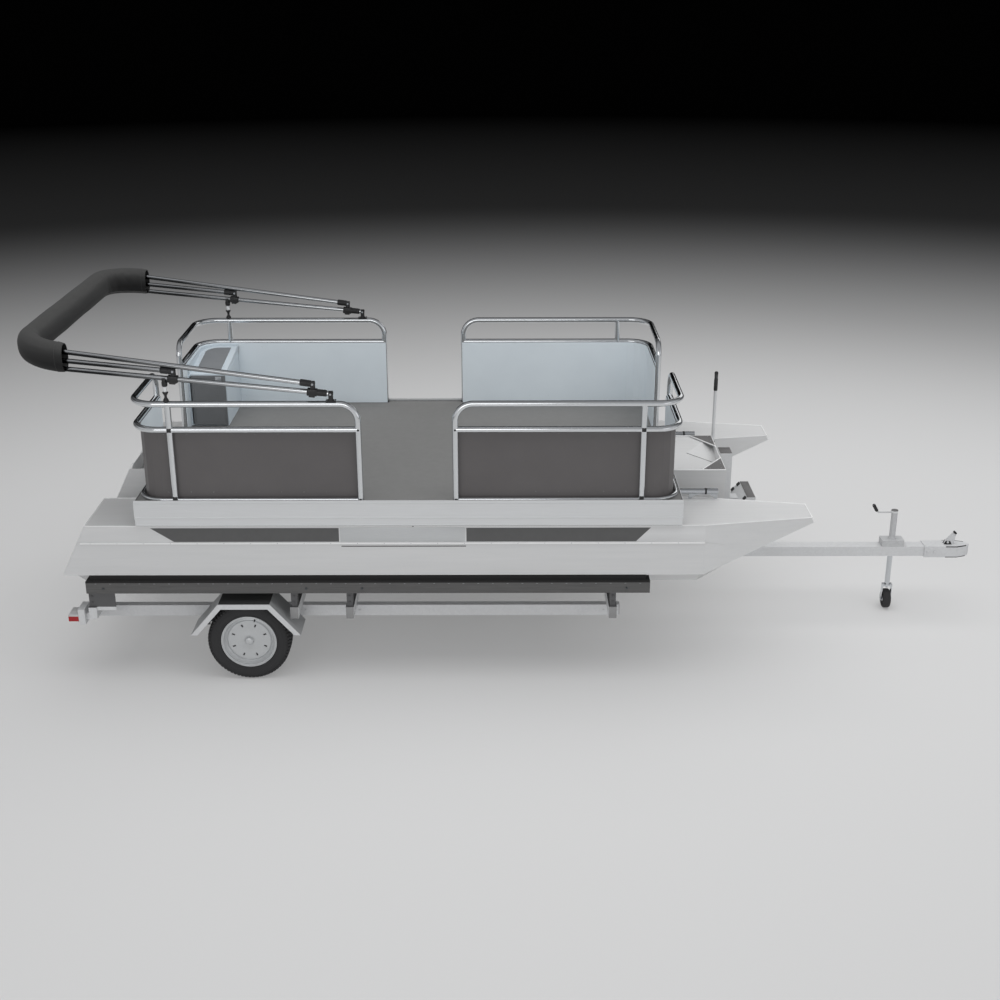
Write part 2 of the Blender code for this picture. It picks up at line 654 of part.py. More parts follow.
def bow_path(x, z, slope):
    """A bow's centre line from its starboard end round the boot's run to its port end."""
    run_z = bow_height(z, slope, x, BOOT_RUN_X)
    corners = [(x, -FENCE_HALF_WIDTH, z), (BOOT_RUN_X, -FENCE_HALF_WIDTH, run_z),
               (BOOT_RUN_X, FENCE_HALF_WIDTH, run_z), (x, FENCE_HALF_WIDTH, z)]
    return rounded(corners, (BOW_BEND, BOW_BEND))


BOWS = (
    # name, X and Z of the eye end, slope
    ("main_bow", BIMINI_X, BIMINI_Z, MAIN_SLOPE),
    ("middle_bow", MIDDLE_BOW_X, MIDDLE_BOW_Z, MIDDLE_SLOPE),
    ("aux_bow", AUX_BOW_X, AUX_BOW_Z, AUX_SLOPE),
)
tunnels = []
for name, x, z, slope in BOWS:
    path = bow_path(x, z, slope)
    meshes = [tube(path, BOW_TUBE, 8)]
    cuts = []
    tunnels.append(tube(path, BOW_TUBE + SEAT, 8))
    if name == "main_bow":
        for _, side in SIDES:
            meshes.append(rod((x, side * FENCE_HALF_WIDTH, z), 1, BOW_TUBE, BOW_TUBE * 0.9))
            cuts.append(rod((x, side * FENCE_HALF_WIDTH, z), 1, BOW_TUBE * 2, HINGE_PIN + RUN, 12))
            for _, slide_x, slide_z, _ in BOWS[1:]:
                low_z = bow_height(z, slope, x, slide_x) - SLIDE_HALF
                high_z = slide_z - BOW_TUBE - 2 * SEAT
                meshes.append(mirrored_box(
                    (slide_x - SLIDE_HALF, FENCE_HALF_WIDTH - SLIDE_HALF, low_z),
                    (slide_x + SLIDE_HALF, FENCE_HALF_WIDTH + SLIDE_HALF, high_z), side))
    part(name, ALUMINIUM, BOAT, meshes, cuts, (BIMINI_X, 0, BIMINI_Z))


def boot_height(at_x):
    """Where the boot's middle runs: just over the middle of the bows it covers."""
    heights = [bow_height(z, slope, x, at_x) for _, x, z, slope in BOWS]
    return (min(heights) + max(heights)) / 2 + BOOT_LIFT


boot_corners = [(BOOT_MOUTH_X, -FENCE_HALF_WIDTH, boot_height(BOOT_MOUTH_X)),
                (BOOT_RUN_X, -FENCE_HALF_WIDTH, boot_height(BOOT_RUN_X)),
                (BOOT_RUN_X, FENCE_HALF_WIDTH, boot_height(BOOT_RUN_X)),
                (BOOT_MOUTH_X, FENCE_HALF_WIDTH, boot_height(BOOT_MOUTH_X))]
boot_outline = []
for u, v in circle(1, 16):
    boot_outline.append((math.copysign(abs(u) ** BOOT_SQUARENESS, u) * BOOT_THICKNESS / 2,
                         math.copysign(abs(v) ** BOOT_SQUARENESS, v) * BOOT_HEIGHT / 2))
part("canopy_boot", CLOTH, BOAT, [swept(rounded(boot_corners, (BOW_BEND, BOW_BEND)), boot_outline)],
     tunnels, (BIMINI_X, 0, BIMINI_Z))

rail_top = TOP_RAIL + FENCE_TUBE + SEAT
prop_top = bow_height(BIMINI_Z, MAIN_SLOPE, BIMINI_X, PROP_X)
for name, side in SIDES:
    ears = []
    for edge in (-1, 1):
        y = FENCE_HALF_WIDTH + edge * (BOW_TUBE + RUN + EAR / 2)
        ears.append(mirrored_box((BIMINI_X - EAR_HALF, y - EAR / 2, rail_top),
                                 (BIMINI_X + EAR_HALF, y + EAR / 2, BIMINI_Z + EAR_HALF), side))
    base_half = BOW_TUBE + RUN + EAR
    base = mirrored_box((BIMINI_X - 1.5 * base_half, FENCE_HALF_WIDTH - base_half, rail_top),
                        (BIMINI_X + 1.5 * base_half, FENCE_HALF_WIDTH + base_half, rail_top + EAR), side)
    pin = rod((BIMINI_X, side * FENCE_HALF_WIDTH, BIMINI_Z), 1, BOW_TUBE + RUN + EAR / 2, HINGE_PIN, 12)
    part("deck_hinge_" + name, PLASTIC, BOAT, [base, pin] + ears)

    height = prop_top - rail_top
    profile = [(0, 0), (0, PROP_FOOT)]
    for share, radius in PROP_PROFILE:
        profile.append((height * share, PROP_FOOT * radius))
    profile.append((height, 0))
    stand = turned(profile, (PROP_X, side * FENCE_HALF_WIDTH, rail_top), 2, 12)
    y = side * FENCE_HALF_WIDTH
    groove = tube([(PROP_X + along, y, prop_top - MAIN_SLOPE * along - SEAT) for along in (-height, height)],
                  BOW_TUBE + RUN, 8)
    over = mirrored_box((PROP_X - height, 0, prop_top - SEAT),
                        (PROP_X + height, DECK_HALF_WIDTH, prop_top + height), side)
    part("bimini_prop_" + name, PLASTIC, BOAT, [stand], [groove, over])

# Trailer frame: two rails, cross tubes that carry the bunks, lamp plates and one drawbar
bunk_low = BUNK_TOP - BUNK_DEPTH
lamp_front_x = LAMP_BACK_X + LAMP_LENGTH
meshes = []
for x in CROSS_XS:
    meshes.append(box((x - CROSS_WIDTH / 2, -CROSS_HALF, CROSS_TOP - CROSS_DEPTH),
                      (x + CROSS_WIDTH / 2, CROSS_HALF, CROSS_TOP)))
for _, side in SIDES:
    meshes.append(mirrored_box((RAIL_BACK_X, RAIL_OUTER_Y - RAIL_WIDTH, RAIL_TOP - RAIL_DEPTH),
                               (RAIL_FRONT_X, RAIL_OUTER_Y, RAIL_TOP), side))
    for x in CROSS_XS:
        for edge in (-1, 1):
            y = PONTOON_Y + edge * BUNK_Y
            meshes.append(mirrored_box((x - BRACKET_X, y - BRACKET_Y, CROSS_TOP - GUARD_SHEET),
                                       (x + BRACKET_X, y + BRACKET_Y, bunk_low - SEAT), side))
    plate_y = PONTOON_Y + BUNK_Y + BRACKET_Y
    meshes.append(mirrored_box((CROSS_XS[0], plate_y - GUARD_SHEET, CROSS_TOP - CROSS_WIDTH / 2),
                               (CROSS_XS[0] + BACK_PLATE, plate_y, bunk_low - SEAT), side))
    lamp_in, lamp_out = CROSS_HALF - LAMP_WIDTH, CROSS_HALF
    meshes.append(mirrored_box((lamp_front_x + SEAT, lamp_in + LAMP_WIDTH / 4, LAMP_Z[0]),
                               (CROSS_XS[0], lamp_out - LAMP_WIDTH / 4, LAMP_Z[1] + RUN), side))
    meshes.append(mirrored_box((lamp_front_x + SEAT, lamp_in, HOUSING_Z[0]),
                               (lamp_front_x + HOUSING_LENGTH, lamp_out, HOUSING_Z[1]), side))
meshes.append(box((CROSS_XS[1], -DRAWBAR_HALF, DRAWBAR_TOP - DRAWBAR_DEPTH),
                  (DRAWBAR_FRONT_X, DRAWBAR_HALF, DRAWBAR_TOP)))
jack_hole = rod((JACK_X, 0, DRAWBAR_TOP - DRAWBAR_DEPTH / 2), 2, DRAWBAR_DEPTH, JACK_RADIUS + SEAT * 2, 20)
part("trailer_frame", ZINC, TRAILER, meshes, [jack_hole])

# Bunks: planks under the chines, with a carpeted strip on top
for name, side in SIDES:
    for place, edge in (("inner", -1), ("outer", 1)):
        y = PONTOON_Y + edge * BUNK_Y
        half = BUNK_WIDTH / 2
        plank = mirrored_box((BUNK_BACK_X, y - half, bunk_low),
                             (BUNK_FRONT_X, y + half, BUNK_TOP - PAD_DEPTH), side)
        pad = mirrored_box((BUNK_BACK_X + PAD_INSET, y - half + PAD_INSET, BUNK_TOP - PAD_DEPTH * 1.1),
                           (BUNK_FRONT_X - PAD_INSET, y + half - PAD_INSET, BUNK_TOP), side)
        part("bunk_" + name + "_" + place, CARPET, TRAILER, [plank, pad])

# Axle, springs, wheels, tyres and mudguards
wheel_y = TYRE_OUTER_Y - TYRE_WIDTH / 2
beam_half = RAIL_OUTER_Y + GUARD_SHEET / 2
beam = box((WHEEL_X - AXLE_SIZE / 2, -beam_half, TYRE_RADIUS - AXLE_SIZE / 2),
           (WHEEL_X + AXLE_SIZE / 2, beam_half, TYRE_RADIUS + AXLE_SIZE / 2))
spindle = rod((WHEEL_X, 0, TYRE_RADIUS), 1, wheel_y + SPINDLE_RADIUS * 1.5, SPINDLE_RADIUS, 24)
part("axle", ZINC, TRAILER, [beam, spindle])
spring_y = RAIL_OUTER_Y - RAIL_WIDTH / 2
hanger_top = RAIL_TOP - RAIL_DEPTH - SEAT
hanger_width = RAIL_WIDTH * 0.47
spring_z = TYRE_RADIUS + AXLE_SIZE / 2 + SEAT
tyre_half = TYRE_WIDTH / 2
seat_half = tyre_half - BEAD_INSET
for name, side in SIDES:
    upper, lower = [], []
    for i in range(9):
        share = i / 4 - 1
        x = WHEEL_X + share * SPRING_HALF
        z = spring_z + SPRING_RISE * share * share
        lower.append((x, z))
        upper.append((x, z + SPRING_THICKNESS))
    spring_in, spring_out = side * spring_y - SPRING_WIDTH / 2, side * spring_y + SPRING_WIDTH / 2
    meshes = [prism(lower + upper[::-1], 1, spring_in, spring_out)]
    for end in (-1, 1):
        x = WHEEL_X + end * SPRING_HALF
        meshes.append(mirrored_box((x - HANGER_HALF, spring_y - hanger_width, spring_z + SPRING_RISE / 2),
                                   (x + HANGER_HALF, spring_y + hanger_width, hanger_top), side))
    part("leaf_spring_" + name, ZINC, TRAILER, meshes)

    centre = (WHEEL_X, side * wheel_y, TYRE_RADIUS)
    wall = [(seat_half, BEAD_RADIUS + SEAT), (seat_half, RIM_RADIUS + 4 * RUN)]
    wall += [(tyre_half - inset, TYRE_RADIUS * share) for inset, share in TYRE_WALL]
    tyre = [(-along, radius) for along, radius in reversed(wall)] + wall
    part("tyre_" + name, RUBBER, TRAILER, [turned(tyre, centre, 1, WHEEL_SIDES)], origin=centre)

    # One turned section: rim flanges and bead seats, the dished disc, the raised centre and the hub behind it
    flange = seat_half + BEAD_INSET / 2
    rim = [(-flange, RIM_RADIUS), (-seat_half - SEAT, RIM_RADIUS), (-seat_half - SEAT, BEAD_RADIUS),
           (seat_half + SEAT, BEAD_RADIUS), (seat_half + SEAT, RIM_RADIUS), (flange, RIM_RADIUS),
           (flange, BEAD_RADIUS * 0.966)]
    disc = [(along, RIM_RADIUS * share) for along, share in DISC_PROFILE]
    section = [(side * along, radius) for along, radius in rim + disc + [(-flange, BEAD_RADIUS * 0.966)]]
    vents = []
    for i in range(8):
        slot = box((VENT_CIRCLE - VENT_LENGTH / 2, -tyre_half, -VENT_HALF),
                   (VENT_CIRCLE + VENT_LENGTH / 2, tyre_half, VENT_HALF))
        turn = Matrix.Rotation(math.tau * (i + 0.5) / 8, 4, "Y")
        slot.transform(Matrix.Translation(centre) @ turn)
        vents.append(slot)
    bore_half = tyre_half * 0.56
    bore = rod((WHEEL_X, side * (wheel_y - bore_half * 0.6), TYRE_RADIUS), 1, bore_half * 1.4,
               SPINDLE_RADIUS + RUN / 2, 24)
    wheel = turned(section, centre, 1, WHEEL_SIDES)
    part("wheel_" + name, ALUMINIUM, TRAILER, [wheel], vents + [bore], centre)

    # The guard is one folded sheet with a lip outside and a wall against the rail
    guard_x = WHEEL_X + GUARD_SHIFT
    guard_z = 2 * TYRE_RADIUS + GUARD_OVER
    edge_z = guard_z - GUARD_DROP
    fold = [(guard_x - GUARD_END_HALF, edge_z), (guard_x - GUARD_TOP_HALF, guard_z),
            (guard_x + GUARD_TOP_HALF, guard_z), (guard_x + GUARD_END_HALF, edge_z)]
    under, lip = [], []
    for x, z in fold:
        inward = math.copysign(GUARD_SHEET, guard_x - x)
        foot = z == edge_z
        under.append((x + inward * (1.5 if foot else 0.6), z if foot else z - GUARD_SHEET))
        along = inward / GUARD_SHEET * GUARD_LIP * (1.2 if foot else 0.45)
        lip.append((x + along, z if foot else z - GUARD_LIP))
    rail_face = RAIL_OUTER_Y + SEAT
    cover = prism(fold + under[::-1], 1, *sorted((side * rail_face, side * GUARD_OUTER_Y)))
    lip_ys = sorted((side * (GUARD_OUTER_Y - GUARD_SHEET), side * GUARD_OUTER_Y))
    lip_plate = prism(fold + lip[::-1], 1, *lip_ys)
    wall_z = RAIL_TOP - 0.7 * RAIL_DEPTH
    slope = (GUARD_END_HALF - GUARD_TOP_HALF) / GUARD_DROP
    wall_half = GUARD_TOP_HALF + slope * (guard_z - wall_z) - GUARD_SHEET
    inner = [(guard_x - wall_half, wall_z), fold[1], fold[2], (guard_x + wall_half, wall_z)]
    inner_wall = prism(inner, 1, *sorted((side * rail_face, side * (rail_face + GUARD_SHEET))))
    part("mudguard_" + name, ZINC, TRAILER, [cover, lip_plate, inner_wall])

# Tail lamps on the lamp plates
for name, side in SIDES:
    lens = mirrored_box((LAMP_BACK_X, lamp_in, LAMP_Z[0]), (lamp_front_x, lamp_out, LAMP_Z[1]), side)
    part("tail_lamp_" + name, RED, TRAILER, [lens])

# Winch post, and the bow stop on it with its sloping face to the boat
part("winch_post", ZINC, TRAILER, [box((POST_X - POST_HALF_X, -POST_HALF_Y, DRAWBAR_TOP + SEAT),
                                       (POST_X + POST_HALF_X, POST_HALF_Y, POST_TOP))])
stop_x = POST_X + POST_HALF_X + SEAT
arm = box((stop_x, -STOP_ARM, STOP_TOP - STOP_DEPTH),
          (stop_x + STOP_BACK, STOP_ARM, STOP_TOP - STOP_DEPTH / 2))
pad_top_x = stop_x + STOP_BACK
pad_front_x = pad_top_x + STOP_LENGTH
pad_foot_x = pad_top_x - STOP_SLOPE
stop_low = STOP_TOP - STOP_DEPTH
profile = [(pad_top_x, STOP_TOP), (pad_front_x, STOP_TOP), (pad_front_x, stop_low), (pad_foot_x, stop_low),
           (pad_foot_x, stop_low + STOP_FOOT)]
part("winch", ZINC, TRAILER, [arm, prism(profile, 1, -STOP_HALF, STOP_HALF)])

# Coupling, a pressed head over the drawbar's end with a ball socket, and its latch lever
coupling_back = DRAWBAR_FRONT_X + SEAT
outline = [(coupling_back, COUPLING_HALF)]
for back_by, share in COUPLING_NOSE:
    outline.append((COUPLING_TIP_X - COUPLING_LENGTH * back_by, COUPLING_HALF * share))
outline += [(COUPLING_TIP_X, 0)] + [(x, -y) for x, y in reversed(outline)]
coupling_low, coupling_top = DRAWBAR_TOP - DRAWBAR_DEPTH - COUPLING_WALL, DRAWBAR_TOP + COUPLING_WALL
socket = rod((COUPLING_TIP_X - BALL_BACK, 0, coupling_low), 2, BALL_DEPTH, BALL_RADIUS, 20)
part("coupling", ZINC, TRAILER, [prism(outline, 2, coupling_low, coupling_top)], [socket])
lever_x, lever_z = COUPLING_TIP_X - LEVER_BACK, coupling_top + SEAT
lever = [(lever_x + LEVER_LENGTH * along, lever_z + LEVER_HEIGHT * up) for along, up in LEVER_SHAPE]
part("coupling_lever", ZINC, TRAILER, [prism(lever, 1, -LEVER_HALF, LEVER_HALF)])

# Jack: an outer tube on a plate over the drawbar, a leg that slides in it, a fork and a jockey wheel
sleeve_low = DRAWBAR_TOP - DRAWBAR_DEPTH - COUPLING_WALL
sleeve = rod((JACK_X, 0, (JACK_TOP + sleeve_low) / 2), 2, (JACK_TOP - sleeve_low) / 2, JACK_RADIUS, 20)
plate_x, plate_y, plate_z = JACK_PLATE
plate = box((JACK_X - plate_x, -plate_y, DRAWBAR_TOP + SEAT),
            (JACK_X + plate_x, plate_y, DRAWBAR_TOP + plate_z))
crank_z = JACK_TOP - 3 * CRANK_RADIUS
handle = [(JACK_X - GRIP_START, 0, crank_z + GRIP_RADIUS), (JACK_X - CRANK_REACH, 0, crank_z + GRIP_LENGTH)]
elbow = [(JACK_X, 0, crank_z), (JACK_X - CRANK_ARM, 0, crank_z), handle[1]]
crank = tube(rounded(elbow, (2.5 * CRANK_RADIUS,), 3), CRANK_RADIUS, 8)
grip = tube(handle, GRIP_RADIUS, 10)
bore = rod((JACK_X, 0, sleeve_low), 2, JACK_TOP - sleeve_low - 2 * CRANK_RADIUS, LEG_RADIUS + RUN, 20)
part("jack_tube", ZINC, TRAILER, [sleeve, plate, crank, grip], [bore])
leg = rod((JACK_X, 0, LEG_BOTTOM + LEG_LENGTH / 2), 2, LEG_LENGTH / 2, LEG_RADIUS, 20)
king = rod((JACK_X, 0, LEG_BOTTOM), 2, 2 * FORK_THICKNESS, KING_RADIUS, 16)
part("jack_leg", ZINC, TRAILER, [leg, king], origin=(JACK_X, 0, LEG_BOTTOM))
fork_top = LEG_BOTTOM - RUN
cheek = JOCKEY_WIDTH / 2 + FREE
yoke = [box((JACK_X - cheek - FORK_PLATE, -LEG_RADIUS, fork_top - FORK_THICKNESS),
            (JACK_X + cheek + FORK_PLATE, LEG_RADIUS, fork_top))]
for end in (-1, 1):
    low, high = sorted((end * cheek, end * (cheek + FORK_PLATE)))
    yoke.append(box((JACK_X + low, -LEG_RADIUS * 0.9, JOCKEY_RADIUS - 2 * JOCKEY_AXLE),
                    (JACK_X + high, LEG_RADIUS * 0.9, fork_top)))
yoke.append(rod((JACK_X, 0, JOCKEY_RADIUS), 0, cheek + 1.5 * FORK_PLATE, JOCKEY_AXLE, 16))
king_hole = rod((JACK_X, 0, fork_top), 2, 2 * FORK_THICKNESS, KING_RADIUS + RUN, 16)
part("jockey_fork", ZINC, TRAILER, yoke, [king_hole], (JACK_X, 0, fork_top))
half = JOCKEY_WIDTH / 2
jockey = [(-half, JOCKEY_AXLE + RUN), (half, JOCKEY_AXLE + RUN)]
jockey += [(half * along, JOCKEY_RADIUS * share) for along, share in JOCKEY_PROFILE]
jockey += [(-half * along, JOCKEY_RADIUS * share) for along, share in reversed(JOCKEY_PROFILE)]
part("jockey_wheel", RUBBER, TRAILER, [turned(jockey, (JACK_X, 0, JOCKEY_RADIUS), 0, 20)],
     origin=(JACK_X, 0, JOCKEY_RADIUS))
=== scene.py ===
"""The looks of a small pontoon boat parked on its bunk trailer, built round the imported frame."""
import math

import bmesh
import bpy
from mathutils import Matrix, Vector, noise


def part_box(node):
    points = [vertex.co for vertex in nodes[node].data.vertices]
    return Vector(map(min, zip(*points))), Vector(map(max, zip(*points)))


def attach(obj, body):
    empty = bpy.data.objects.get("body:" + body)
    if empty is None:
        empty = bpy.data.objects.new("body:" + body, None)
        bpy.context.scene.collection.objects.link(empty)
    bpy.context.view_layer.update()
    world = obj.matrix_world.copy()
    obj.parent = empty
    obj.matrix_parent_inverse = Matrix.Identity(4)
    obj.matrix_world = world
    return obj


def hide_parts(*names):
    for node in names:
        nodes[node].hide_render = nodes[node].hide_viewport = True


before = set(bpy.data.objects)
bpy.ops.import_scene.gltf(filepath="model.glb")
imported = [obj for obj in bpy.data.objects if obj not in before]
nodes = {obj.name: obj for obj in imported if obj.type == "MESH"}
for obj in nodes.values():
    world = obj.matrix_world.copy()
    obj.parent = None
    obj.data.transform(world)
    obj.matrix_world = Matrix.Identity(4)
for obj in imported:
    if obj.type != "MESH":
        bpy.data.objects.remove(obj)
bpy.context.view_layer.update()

BOAT = "boat_on_trailer"

# Stage
# A pale studio floor that runs back into the dark, under wide overhead softboxes, seen from the photo's own
# viewpoint off the starboard side.
deck_low, deck_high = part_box("deck")
gate_x = (deck_low.x + deck_high.x) / 2
deck_z = deck_high.z


def aboard(x, y, z):
    """A place given from the middle of the deck's top, as the boat is drawn."""
    return Vector((gate_x + x, y, deck_z + z))


def on_road(x, y, z):
    """A place given from the ground under the middle of the deck, as the trailer is drawn."""
    return Vector((gate_x + x, y, z))


camera = bpy.data.objects.new("camera", bpy.data.cameras.new("camera"))
camera.data.lens = 50
camera.data.sensor_width = 36
# Solved from the straight rails in the photo, in metres and degrees.
CAMERA_PLACE, LOOKS_DOWN, ROLL = (0.6152, -9.740, 3.376), 21.33, 0.1
camera.location = aboard(*CAMERA_PLACE)
camera.rotation_euler = (math.radians(90 - LOOKS_DOWN), math.radians(ROLL), 0)
bpy.context.scene.collection.objects.link(camera)
bpy.context.scene.camera = camera
bpy.context.scene.view_settings.view_transform = "Standard"


def srgb(code):
    """A hex colour as linear light."""
    parts = [int(code[i:i + 2], 16) / 255 for i in (1, 3, 5)]
    return (*[p / 12.92 if p <= 0.04045 else ((p + 0.055) / 1.055) ** 2.4 for p in parts], 1)


def add(tree, kind, links=None, **settings):
    """One node with its settings, and its sockets set to a value or linked from another node's output."""
    made = tree.nodes.new(kind)
    for key, value in settings.items():
        setattr(made, key, value)
    for key, value in (links or {}).items():
        if isinstance(value, bpy.types.NodeSocket):
            tree.links.new(value, made.inputs[key])
        else:
            made.inputs[key].default_value = value
    return made


def ramp(tree, value, start, end, first=0.0, last=1.0, **settings):
    """A value that goes from first to last while another one goes from start to end."""
    return add(tree, "ShaderNodeMapRange", {
        "Value": value, "From Min": start, "From Max": end, "To Min": first, "To Max": last,
    }, **settings).outputs["Result"]


def maths(tree, operation, first, second):
    """One sum of two values, each a number or another node's output."""
    return add(tree, "ShaderNodeMath", {0: first, 1: second}, operation=operation).outputs[0]


def colour_mix(tree, share, first, second):
    """A share of a second colour over a first one, each a hex code or another node's output."""
    first, second = (srgb(colour) if isinstance(colour, str) else colour for colour in (first, second))
    return add(tree, "ShaderNodeMix", {0: share, 6: first, 7: second}, data_type="RGBA").outputs[2]


def emboss(tree, shader, height, strength, depth):
    """Raises the surface by a pattern, over a depth in metres."""
    relief = add(tree, "ShaderNodeBump", {"Height": height, "Strength": strength, "Distance": depth})
    tree.links.new(relief.outputs["Normal"], shader.inputs["Normal"])


def finish_of(name, colour, roughness, metallic=0, **sockets):
    """A material with one Principled shader. Returns it with its tree and its shader."""
    made = bpy.data.materials.new(name)
    made.use_nodes = True
    tree = made.node_tree
    shader = tree.nodes["Principled BSDF"]
    shader.inputs["Base Color"].default_value = srgb(colour)
    shader.inputs["Roughness"].default_value = roughness
    shader.inputs["Metallic"].default_value = metallic
    for key, value in sockets.items():
        shader.inputs[key.replace("_", " ")].default_value = value
    return made, tree, shader


def pattern_space(tree, stretch=(1, 1, 1)):
    """The piece's own coordinates in metres, stretched for a grain that runs one way."""
    where = add(tree, "ShaderNodeTexCoord")
    return add(tree, "ShaderNodeMapping", {"Vector": where.outputs["Object"],
                                           "Scale": stretch}).outputs["Vector"]


def mottle(tree, shader, space, grain, dark, light, rough, bump=0.0, depth=0.0002):
    """Uneven colour, gloss and surface from one noise, with its grain in metres. Returns the colour."""
    cloud = add(tree, "ShaderNodeTexNoise", {
        "Vector": space, "Scale": 1 / grain, "Detail": 5.0, "Roughness": 0.6}).outputs["Fac"]
    tone = colour_mix(tree, cloud, dark, light)
    tree.links.new(tone, shader.inputs["Base Color"])
    tree.links.new(ramp(tree, cloud, 0.0, 1.0, *rough), shader.inputs["Roughness"])
    if bump:
        emboss(tree, shader, cloud, bump, depth)
    return tone


# Opal acrylic, lit faintly from beneath so that the shadows stay pale, and darker towards the far wall.
studio_floor, tree, shader = finish_of("opal_studio_floor", "#bcbcbc", 0.8, Emission_Strength=0.42,
                                       Specular_IOR_Level=0.0)
# The light falls off with the distance from a place in front of the hull.
FALL_OFF, DARK_WALL = (9.3, 25.3), (23.3, 42.3)
distance = add(tree, "ShaderNodeVectorMath", {0: pattern_space(tree), 1: on_road(1.5, -6.3, 0)},
               operation="DISTANCE").outputs["Value"]
wall = colour_mix(tree, ramp(tree, distance, *DARK_WALL), "#2b2b2b", "#020202")
away = ramp(tree, distance, *FALL_OFF, interpolation_type="SMOOTHSTEP")
shade = colour_mix(tree, away, "#bababa", wall)
for socket in ("Base Color", "Emission Color"):
    tree.links.new(shade, shader.inputs[socket])
cove = bmesh.new()
COVE_FRONT, COVE_FOOT, COVE_BEND, COVE_TOP, COVE_HALF, COVE_STEPS = -18, 38, 6, 20, 35, 12
profile = [(COVE_FRONT, 0), (4, 0)]
for i in range(COVE_STEPS + 1):
    turn = math.pi / 2 * i / COVE_STEPS
    profile.append((COVE_FOOT + COVE_BEND * math.sin(turn), COVE_BEND - COVE_BEND * math.cos(turn)))
profile.append((COVE_FOOT + COVE_BEND, COVE_TOP))
rows = [[cove.verts.new((x, y, z)) for y, z in profile] for x in (-COVE_HALF, COVE_HALF)]
for i in range(len(profile) - 1):
    cove.faces.new((rows[0][i], rows[1][i], rows[1][i + 1], rows[0][i + 1]))
cove_mesh = bpy.data.meshes.new("studio_cove")
cove.to_mesh(cove_mesh)
cove.free()
cove_mesh.materials.append(studio_floor)
cove_mesh.shade_smooth()
cove_object = bpy.data.objects.new("studio_cove", cove_mesh)
bpy.context.scene.collection.objects.link(cove_object)

world = bpy.data.worlds.new("studio")
bpy.context.scene.world = world
world.use_nodes = True
sky = world.node_tree
toward = add(sky, "ShaderNodeSeparateXYZ", {"Vector": add(sky, "ShaderNodeTexCoord").outputs["Generated"]})
dome = ramp(sky, toward.outputs["Z"], 0.0, 0.6, 0.65, 0.35)
# The side behind the object is darker, so that polished tubes get a dark line along their tops.
behind = ramp(sky, toward.outputs["Y"], -0.1, 0.5, 1.0, 0.25)
sky.links.new(maths(sky, "MULTIPLY", dome, behind), sky.nodes["Background"].inputs["Strength"])
sky.nodes["Background"].inputs["Color"].default_value = srgb("#fbfcff")

for lamp_name, place, aim, size, watts in (
        ("softbox_over", (3, 0, 9.0), (3, 0, 0), (16, 12), 860),
        ("softbox_front", (-2, -10, 4.5), (0, 0, 0.8), (7, 4), 140),
        ("softbox_side", (9, -8, 3), (2, 0, 0.8), (5, 4), 28),
        ("softbox_back", (5, 7, 5), (0, 0, 0.8), (5, 3), 45)):
    lamp = bpy.data.objects.new(lamp_name, bpy.data.lights.new(lamp_name, "AREA"))
    lamp.data.shape = "RECTANGLE"
    lamp.data.size, lamp.data.size_y = size
    lamp.data.energy = watts
    lamp.visible_glossy = lamp_name != "softbox_over"
    lamp.location = on_road(*place)
    lamp.rotation_euler = (Vector(aim) - Vector(place)).to_track_quat("-Z", "Y").to_euler()
    bpy.context.scene.collection.objects.link(lamp)

# Trailer frame
# Welded box section, hot-dip galvanised after welding, so that the zinc shows its spangle and dull patches.
# Brackets and springs are held by plated hex bolts, and grey moulded plugs close the tubes' ends.


def galvanised(name, light="#dddedf", dark="#d1d2d3"):
    """Zinc skin: crystals about 15 mm across, each a little brighter or duller than its neighbour."""
    made, tree, shader = finish_of(name, light, 0.5, 0.15)
    space = pattern_space(tree)
    crystals = add(tree, "ShaderNodeTexVoronoi", {"Vector": space, "Scale": 1 / 0.015})
    patches = add(tree, "ShaderNodeTexNoise", {"Vector": space, "Scale": 1 / 0.12, "Detail": 4.0})
    both = maths(tree, "MULTIPLY", crystals.outputs["Color"], patches.outputs["Fac"])
    tone = colour_mix(tree, both, dark, light)
    tree.links.new(tone, shader.inputs["Base Color"])
    tree.links.new(ramp(tree, both, 0.0, 1.0, 0.55, 0.38), shader.inputs["Roughness"])
    emboss(tree, shader, patches.outputs["Fac"], 0.12, 0.001)
    return made, tree, shader, tone


def clouded(name, grain, dark, light, rough, bump=0.0, depth=0.0002, metallic=0, stretch=(1, 1, 1),
            **sockets):
    """A finish that is one uneven pattern all over."""
    made, tree, shader = finish_of(name, light, rough[0], metallic, **sockets)
    mottle(tree, shader, pattern_space(tree, stretch), grain, dark, light, rough, bump, depth)
    return made


def own(tree, ask, axis):
    """One axis of a piece's own place ("Object") or of the way it faces ("Normal")."""
    where = add(tree, "ShaderNodeTexCoord")
    return add(tree, "ShaderNodeSeparateXYZ", {"Vector": where.outputs[ask]}).outputs[axis]


def over_part(tree, shader, under, colour, ask, axis, limit):
    """Lays a colour over the parts of a piece that are past a limit on one axis of their place or facing."""
    past = maths(tree, "GREATER_THAN", own(tree, ask, axis), limit)
    tree.links.new(colour_mix(tree, past, under, colour), shader.inputs["Base Color"])


def give(made, *names):
    """Puts a finish on CAD nodes that keep their own shape."""
    for name in names:
        nodes[name].data.materials.clear()
        nodes[name].data.materials.append(made)


